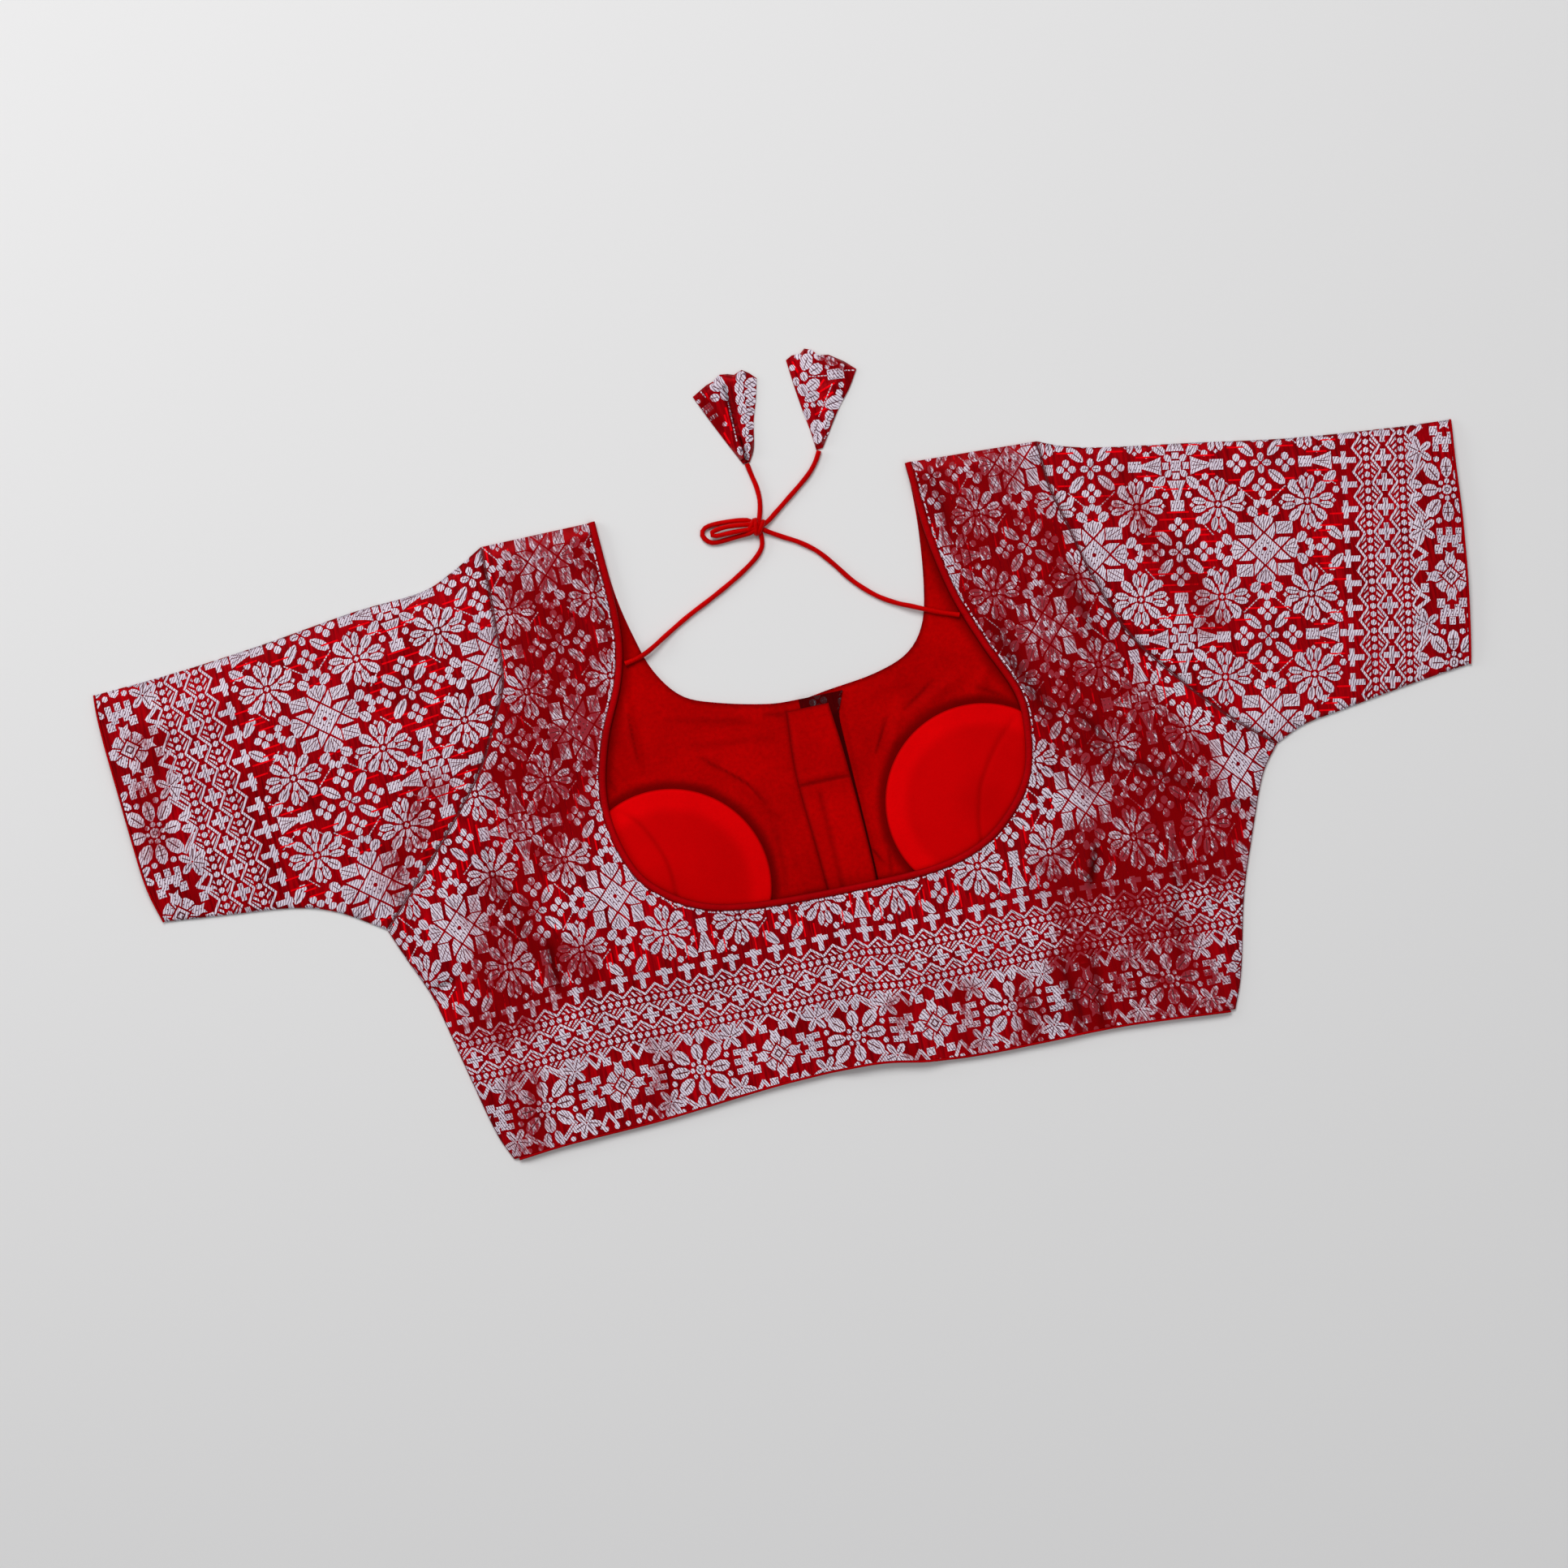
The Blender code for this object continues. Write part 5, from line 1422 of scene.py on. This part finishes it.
cupSet = {
    "rim": 1.2, "thickness": 5.5, "rings": 46, "sides": 180, "closer": 1.25, "roll": 0.035, "above": 0.25,
    "crease": 0.5, "creaseWidth": 1.7, "creaseEnd": 0.1,
    # shades: strength, from this share of the radius inwards, over this share
    "shades": ((0.36, 0.86, 0.14), (0.14, 0.4, 0.4)), "line": (0.30, 1.3, 0.2), "under": (0.8, 4),
    "rimLine": (0.6, 0.985),
}
cupCreases = {
    "left": ((-118, 28), (-105, 17), (-97, 3), (-92, -12), (-91, -27), (-92, -60)),
    "right": ((121, 30), (108, 17), (97, 1), (92, -10), (88, -30), (88, -60)),
}


def addCup(side, finish):
    x, y, radius = cups[side]
    crease = smoothLine(cupCreases[side], 3)
    sides, rings = cupSet["sides"], cupSet["rings"]
    spots = [(x, y)]
    for i in range(1, rings + 1):  # the rings lie closer towards the rim
        reach = radius * (1 - (1 - i / rings) ** cupSet["closer"])
        spots += [(x + reach * a, y + reach * b) for a, b in ring(sides, 2)]
    spots = np.array(spots)
    share = fromCup(spots, cups[side]) / radius
    rise = (cupSet["thickness"] - cupSet["rim"]) * (1 - share * share)
    over = np.clip((share - 1 + cupSet["roll"]) / cupSet["roll"], 0, 1)
    roll = cupSet["rim"] * np.sqrt(np.clip(1 - over ** 2, 0, 1))
    dent = cupSet["crease"] * bell(distanceTo(spots, crease), cupSet["creaseWidth"])
    top = onLining + cupSet["above"] + roll + rise - dent * eased((1 - share) / cupSet["creaseEnd"])
    count, faces = len(spots), []
    outer = 1 + (rings - 1) * sides
    for k in range(sides):
        m = (k + 1) % sides
        faces += [(0, 1 + k, 1 + m)]
        for a in range(1, outer, sides):
            faces += [(a + k, a + sides + k, a + sides + m, a + m)]
        faces += [(outer + k, count + outer + k, count + outer + m, outer + m)]
    faces += [tuple(count + v for v in reversed(f)) for f in faces if max(f) < count]
    points = np.concatenate([np.column_stack([spots, z]) for z in (top, np.full(count, onLining))])
    # painted shade: darker within the rim and towards the middle, along the crease, under the back's neck
    # edge, and a dark ring at the rim
    inner = sum(strength * eased((edge - share) / over) for strength, edge, over in cupSet["shades"])
    strength, halfWidth, over = cupSet["line"]
    line = strength * bell(distanceTo(spots, crease), halfWidth) * eased((1 - share) / over)
    strength, halfWidth = cupSet["under"]
    under = strength * bell(distanceTo(spots, neckLoop), halfWidth)
    strength, edge = cupSet["rimLine"]
    shade = np.clip(inner + line + under + strength * (share > edge), 0, 1)
    cup = newPiece("cup" + side.title(), points, faces, [finish], None, np.tile(shade, 2))
    finishPiece(cup, "cup_cloth", "cup_" + side)


print("stage: cups")
cupCloth = plainCloth("cupCloth", "cup", "cupShadeColour", 700, 0.75, (1, 1, 1), 0.0001, 0.93)
for side in ("left", "right"):
    addCup(side, cupCloth)


# Sleeves: one sheet laid in two layers, then given a wall

sleeveSet = {
    "step": 4, "cuffHeight": 4.6, "armholeHeight": 3.9, "middleRise": 0.9, "foldHeight": 2.5, "bulge": 4,
    "roundOff": 1.8, "wall": 0.8, "halfEdge": 1.25, "seamGap": 0.12, "seamDip": 0.9, "dipWidth": 1.3,
    "ripple": 0.2, "creasesFrom": 9, "seamLine": (0.15, 0.35),
    "edgeIn": 0.6, "edgeOut": 0.95, "edgeRise": 0.4, "edgeLow": 0.74,
    "guides": (0.45, 1.8), "armholeGuide": 1.4, "merge": 0.00002,
    "foldShade": (0.55, 0.9), "underarmShade": (0.4, 0.9),  # strength, half width
}
sleeveFolds = (
    (-250, 30, -300, 120, 20, 0.8), (-215, 150, -280, 90, 17, 0.6), (-345, 40, -365, 120, 16, 0.5),
    (255, 30, 320, 110, 20, 0.8), (215, 145, 285, 90, 17, 0.6), (350, 30, 372, 115, 16, 0.5),
)
sleeveCreases = (
    (-236, 20, -286, 70, 5, 0.7), (-250, 12, -312, 44, 5, -0.5), (-200, 150, -250, 130, 6, 0.5),
    (-190, 110, -240, 80, 7, 0.5), (-330, 30, -372, 70, 7, 0.5), (-320, 140, -380, 120, 7, 0.4),
    (236, 20, 290, 70, 5, 0.7), (262, 6, 322, 38, 5, -0.5), (200, 150, 250, 130, 6, 0.5),
    (205, 100, 250, 84, 7, 0.5), (335, 24, 378, 62, 7, 0.5), (322, 136, 385, 112, 7, 0.4),
    (210, 52, 250, 20, 4, -0.5),
)


def addSleeve(side, edges, finishes):
    fold, cuff, underarm, armhole = [smoothLine(edge, 3) for edge in edges]
    outwards = -1 if side == "left" else 1
    cuff = [Vector((p.x - outwards * edgingInset, p.y)) for p in cuff]
    armhole = inset(armhole, outwards * sleeveSet["seamGap"])
    loop = closedOutline([fold, armhole, underarm[::-1], cuff[::-1]] if side == "right" else
                         [fold[::-1], cuff, underarm, armhole[::-1]], 3)
    if sum(a.x * b.y - b.x * a.y for a, b in zip(loop, loop[1:] + loop[:1])) < 0:
        loop.reverse()
    forms = keepNear(chart(*sleeveCharts[side]["window"]), onSleeve(side), loop)
    forms += seamForms(shortened(armhole, 1), *(outwards * size for size in sleeveSet["seamLine"]))
    guides = [shortened(inset(line, d * sign), 2) for line, sign in ((fold, outwards), (underarm, -outwards))
              for d in sleeveSet["guides"]]
    guides += [shortened(inset(armhole, outwards * sleeveSet["armholeGuide"]), 2)]
    flat, triangles, kinds = cutSheet(loop, gridPoints(loop, sleeveSet["step"], guides), forms)
    half = sleeveSet["halfEdge"]

    def roundness(spots):
        near = np.clip(nearest(spots, (fold, underarm)) / sleeveSet["roundOff"], 0, 1)
        return np.sqrt(np.clip(1 - (1 - near) ** 2, 0, 1))

    def top(spots):
        dFold, dUnder, dCuff, dArm = [distanceTo(spots, line) for line in (fold, underarm, cuff, armhole)]
        across, along = dFold / (dFold + dUnder + 1e-6), dCuff / (dCuff + dArm + 1e-6)
        middle = sleeveSet["cuffHeight"] + (sleeveSet["armholeHeight"] - sleeveSet["cuffHeight"]) * along
        middle += sleeveSet["middleRise"] * np.sin(math.pi * along)
        middle += creased(spots, sleeveFolds) * (1 - along)
        bulge = 1 - np.abs(2 * across - 1) ** sleeveSet["bulge"]
        height = sleeveSet["foldHeight"] + (middle - sleeveSet["foldHeight"]) * bulge
        ripple = sleeveSet["ripple"] * np.sin(spots[:, 1] / 6.1 + 1.3 * np.sin(spots[:, 0] / 17))
        near = np.min([dFold, dUnder, dArm], 0)
        height += (creased(spots, sleeveCreases) + ripple) * eased(near / sleeveSet["creasesFrom"])
        height -= sleeveSet["seamDip"] * bell(dArm, sleeveSet["dipWidth"])
        return half + (height - half) * roundness(spots)

    def low(spots):
        return half - half * roundness(spots)

    edgeShades = [strength * bell(distanceTo(flat, line), halfWidth) for line, (strength, halfWidth) in
                  ((fold, sleeveSet["foldShade"]), (underarm, sleeveSet["underarmShade"]))]
    # painted shadow at the armhole seam and along the fold and underarm edges; painted shade where the thread
    # turns from the light
    paintedShadow = np.max([paintedFoldAndSeamShadow(flat, [armhole]), *edgeShades], 0)
    shades = [np.concatenate([shade, np.zeros(len(flat))]) for shade in (paintedClothShade(flat), paintedShadow)]
    points, faces = twoSides(flat, triangles, top, low)
    sleeve = newPiece("sleeve" + side.title(), points, faces, finishes, np.tile(kinds, 2), *shades)
    inEditMode(sleeve, bpy.ops.mesh.remove_doubles, threshold=sleeveSet["merge"])
    wall = sleeve.modifiers.new("wall", "SOLIDIFY")
    wall.thickness, wall.offset = sleeveSet["wall"] * mm, -1
    bpy.ops.object.modifier_apply(modifier="wall")
    for spot in sleeve.data.vertices:
        if spot.co.z < 0:  # a sliver's wall that turned outwards
            spot.co.z = sleeveSet["wall"] * mm
    smoothShade(sleeve.data)
    finishPiece(sleeve, "brocade", "sleeve_" + side)
    print("sleeve faces", len(sleeve.data.polygons))
    rows = smoothLine(cuff, step)
    spots, rise = asRows((p.x - outwards * sleeveSet["edgeIn"], p.y) for p in rows), sleeveSet["edgeRise"]
    heights = [*(top(spots) - rise), *np.maximum(low(spots) + rise, sleeveSet["edgeLow"])[::-1]]
    out = outwards * sleeveSet["edgeOut"]
    path = [(p.x + out, p.y, float(z)) for p, z in zip(rows + rows[::-1], heights)]
    profile = ring(clothSet["edgingSides"], clothSet["edging"])
    edge = tubePiece("cuffEdge" + side.title(), path, pipingCloth, profile, True)
    finishPiece(edge, "piping", "cuff_edge_" + side)


print("stage: sleeves")
addSleeve("left", (leftFold, leftCuff, leftUnderarm, leftArmhole), wovenAcross)
addSleeve("right", (rightFold, rightCuff, rightUnderarm, rightArmhole[::-1]), wovenAcross)


# Piping, edgings and the thread along the neck

pipingSet = {"width": 4, "thickness": 2.2, "sides": 12, "paintedSideShade": 0.9, "gap": 0.15, "above": 0.05}


def addPiping():
    width, thickness, sides = pipingSet["width"], pipingSet["thickness"], pipingSet["sides"]
    neck = inset(neckLoop, -(width / 2 + pipingSet["gap"]))
    heights = backUnder(asRows(neck)) + thickness / 2 + pipingSet["above"]
    path = [(*p, float(z)) for p, z in zip(neck, heights)]
    # painted shade towards the piping's sides
    edges = [pipingSet["paintedSideShade"] * abs(a) ** 3 for a, _ in ring(sides, 2)]
    paintedShade = np.array(edges * len(path))
    piping = tubePiece("neckPiping", path, pipingCloth, ring(sides, width, thickness), paintedShade=paintedShade)
    finishPiece(piping, "piping", "neck_piping")


def addHemEdges():
    radius, profile = clothSet["edging"] / 2, ring(clothSet["edgingSides"], clothSet["edging"])
    hem = shortened(inset(smoothLine(hemLine, step), radius), 2.6)
    path = [(*p, float(z)) for p, z in zip(hem, backUnder(asRows(hem)) + radius)]
    finishPiece(tubePiece("hemEdgeBack", path, pipingCloth, profile), "piping", "hem_edge_back")
    for name, left in (("left", True), ("right", False)):
        centre = clothSet["centreFront"] + (-clothSet["gap"] if left else clothSet["gap"])
        path = [(p.x, p.y, radius + 0.02) for p in cutAtCentre(hem, left, centre)]
        edge = tubePiece("hemEdgeFront" + name.title(), path, pipingCloth, profile)
        finishPiece(edge, "piping", "hem_edge_front_" + name)


threadSet = {
    "dash": 1.7, "gap": 0.8, "width": 0.8, "inset": 0.8, "top": 0.32, "underside": 0.04,
    "from": 4, "short": 6,  # where it starts, and how far before the end it stops
}


def addNeckThread(finish):
    line = inset(neckLoop, threadSet["inset"])
    total, along = lineLength(line) - threadSet["short"], threadSet["from"]
    points, faces = [], []
    while along < total:
        a, b = atLength(line, along), atLength(line, along + threadSet["dash"])
        side = Vector((-(b - a).y, (b - a).x)).normalized() * threadSet["width"] / 2
        corners = asRows([a - side, b - side, b + side, a + side])
        start, tops = len(points), backTop(corners)
        for lift in (threadSet["top"], threadSet["underside"]):
            points += [(x, y, float(z) + lift) for (x, y), z in zip(corners, tops)]
        faces += [tuple(start + i for i in f) for f in (
            (0, 1, 2, 3), (7, 6, 5, 4), (4, 5, 1, 0), (5, 6, 2, 1), (6, 7, 3, 2), (7, 4, 0, 3))]
        uneven = 1.3 + math.sin(along * 0.9) + 0.8 * math.sin(along * 0.23)
        along += threadSet["dash"] + threadSet["gap"] * uneven
    finishPiece(newPiece("neckThread", points, faces, [finish]), "brocade")


print("stage: piping, edgings and threads")
addPiping()
addHemEdges()
addNeckThread(zari)

sizes = {"cad": [list(c) for c in cadBounds], "visual": [list(c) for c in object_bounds()]}
print("stage: done")
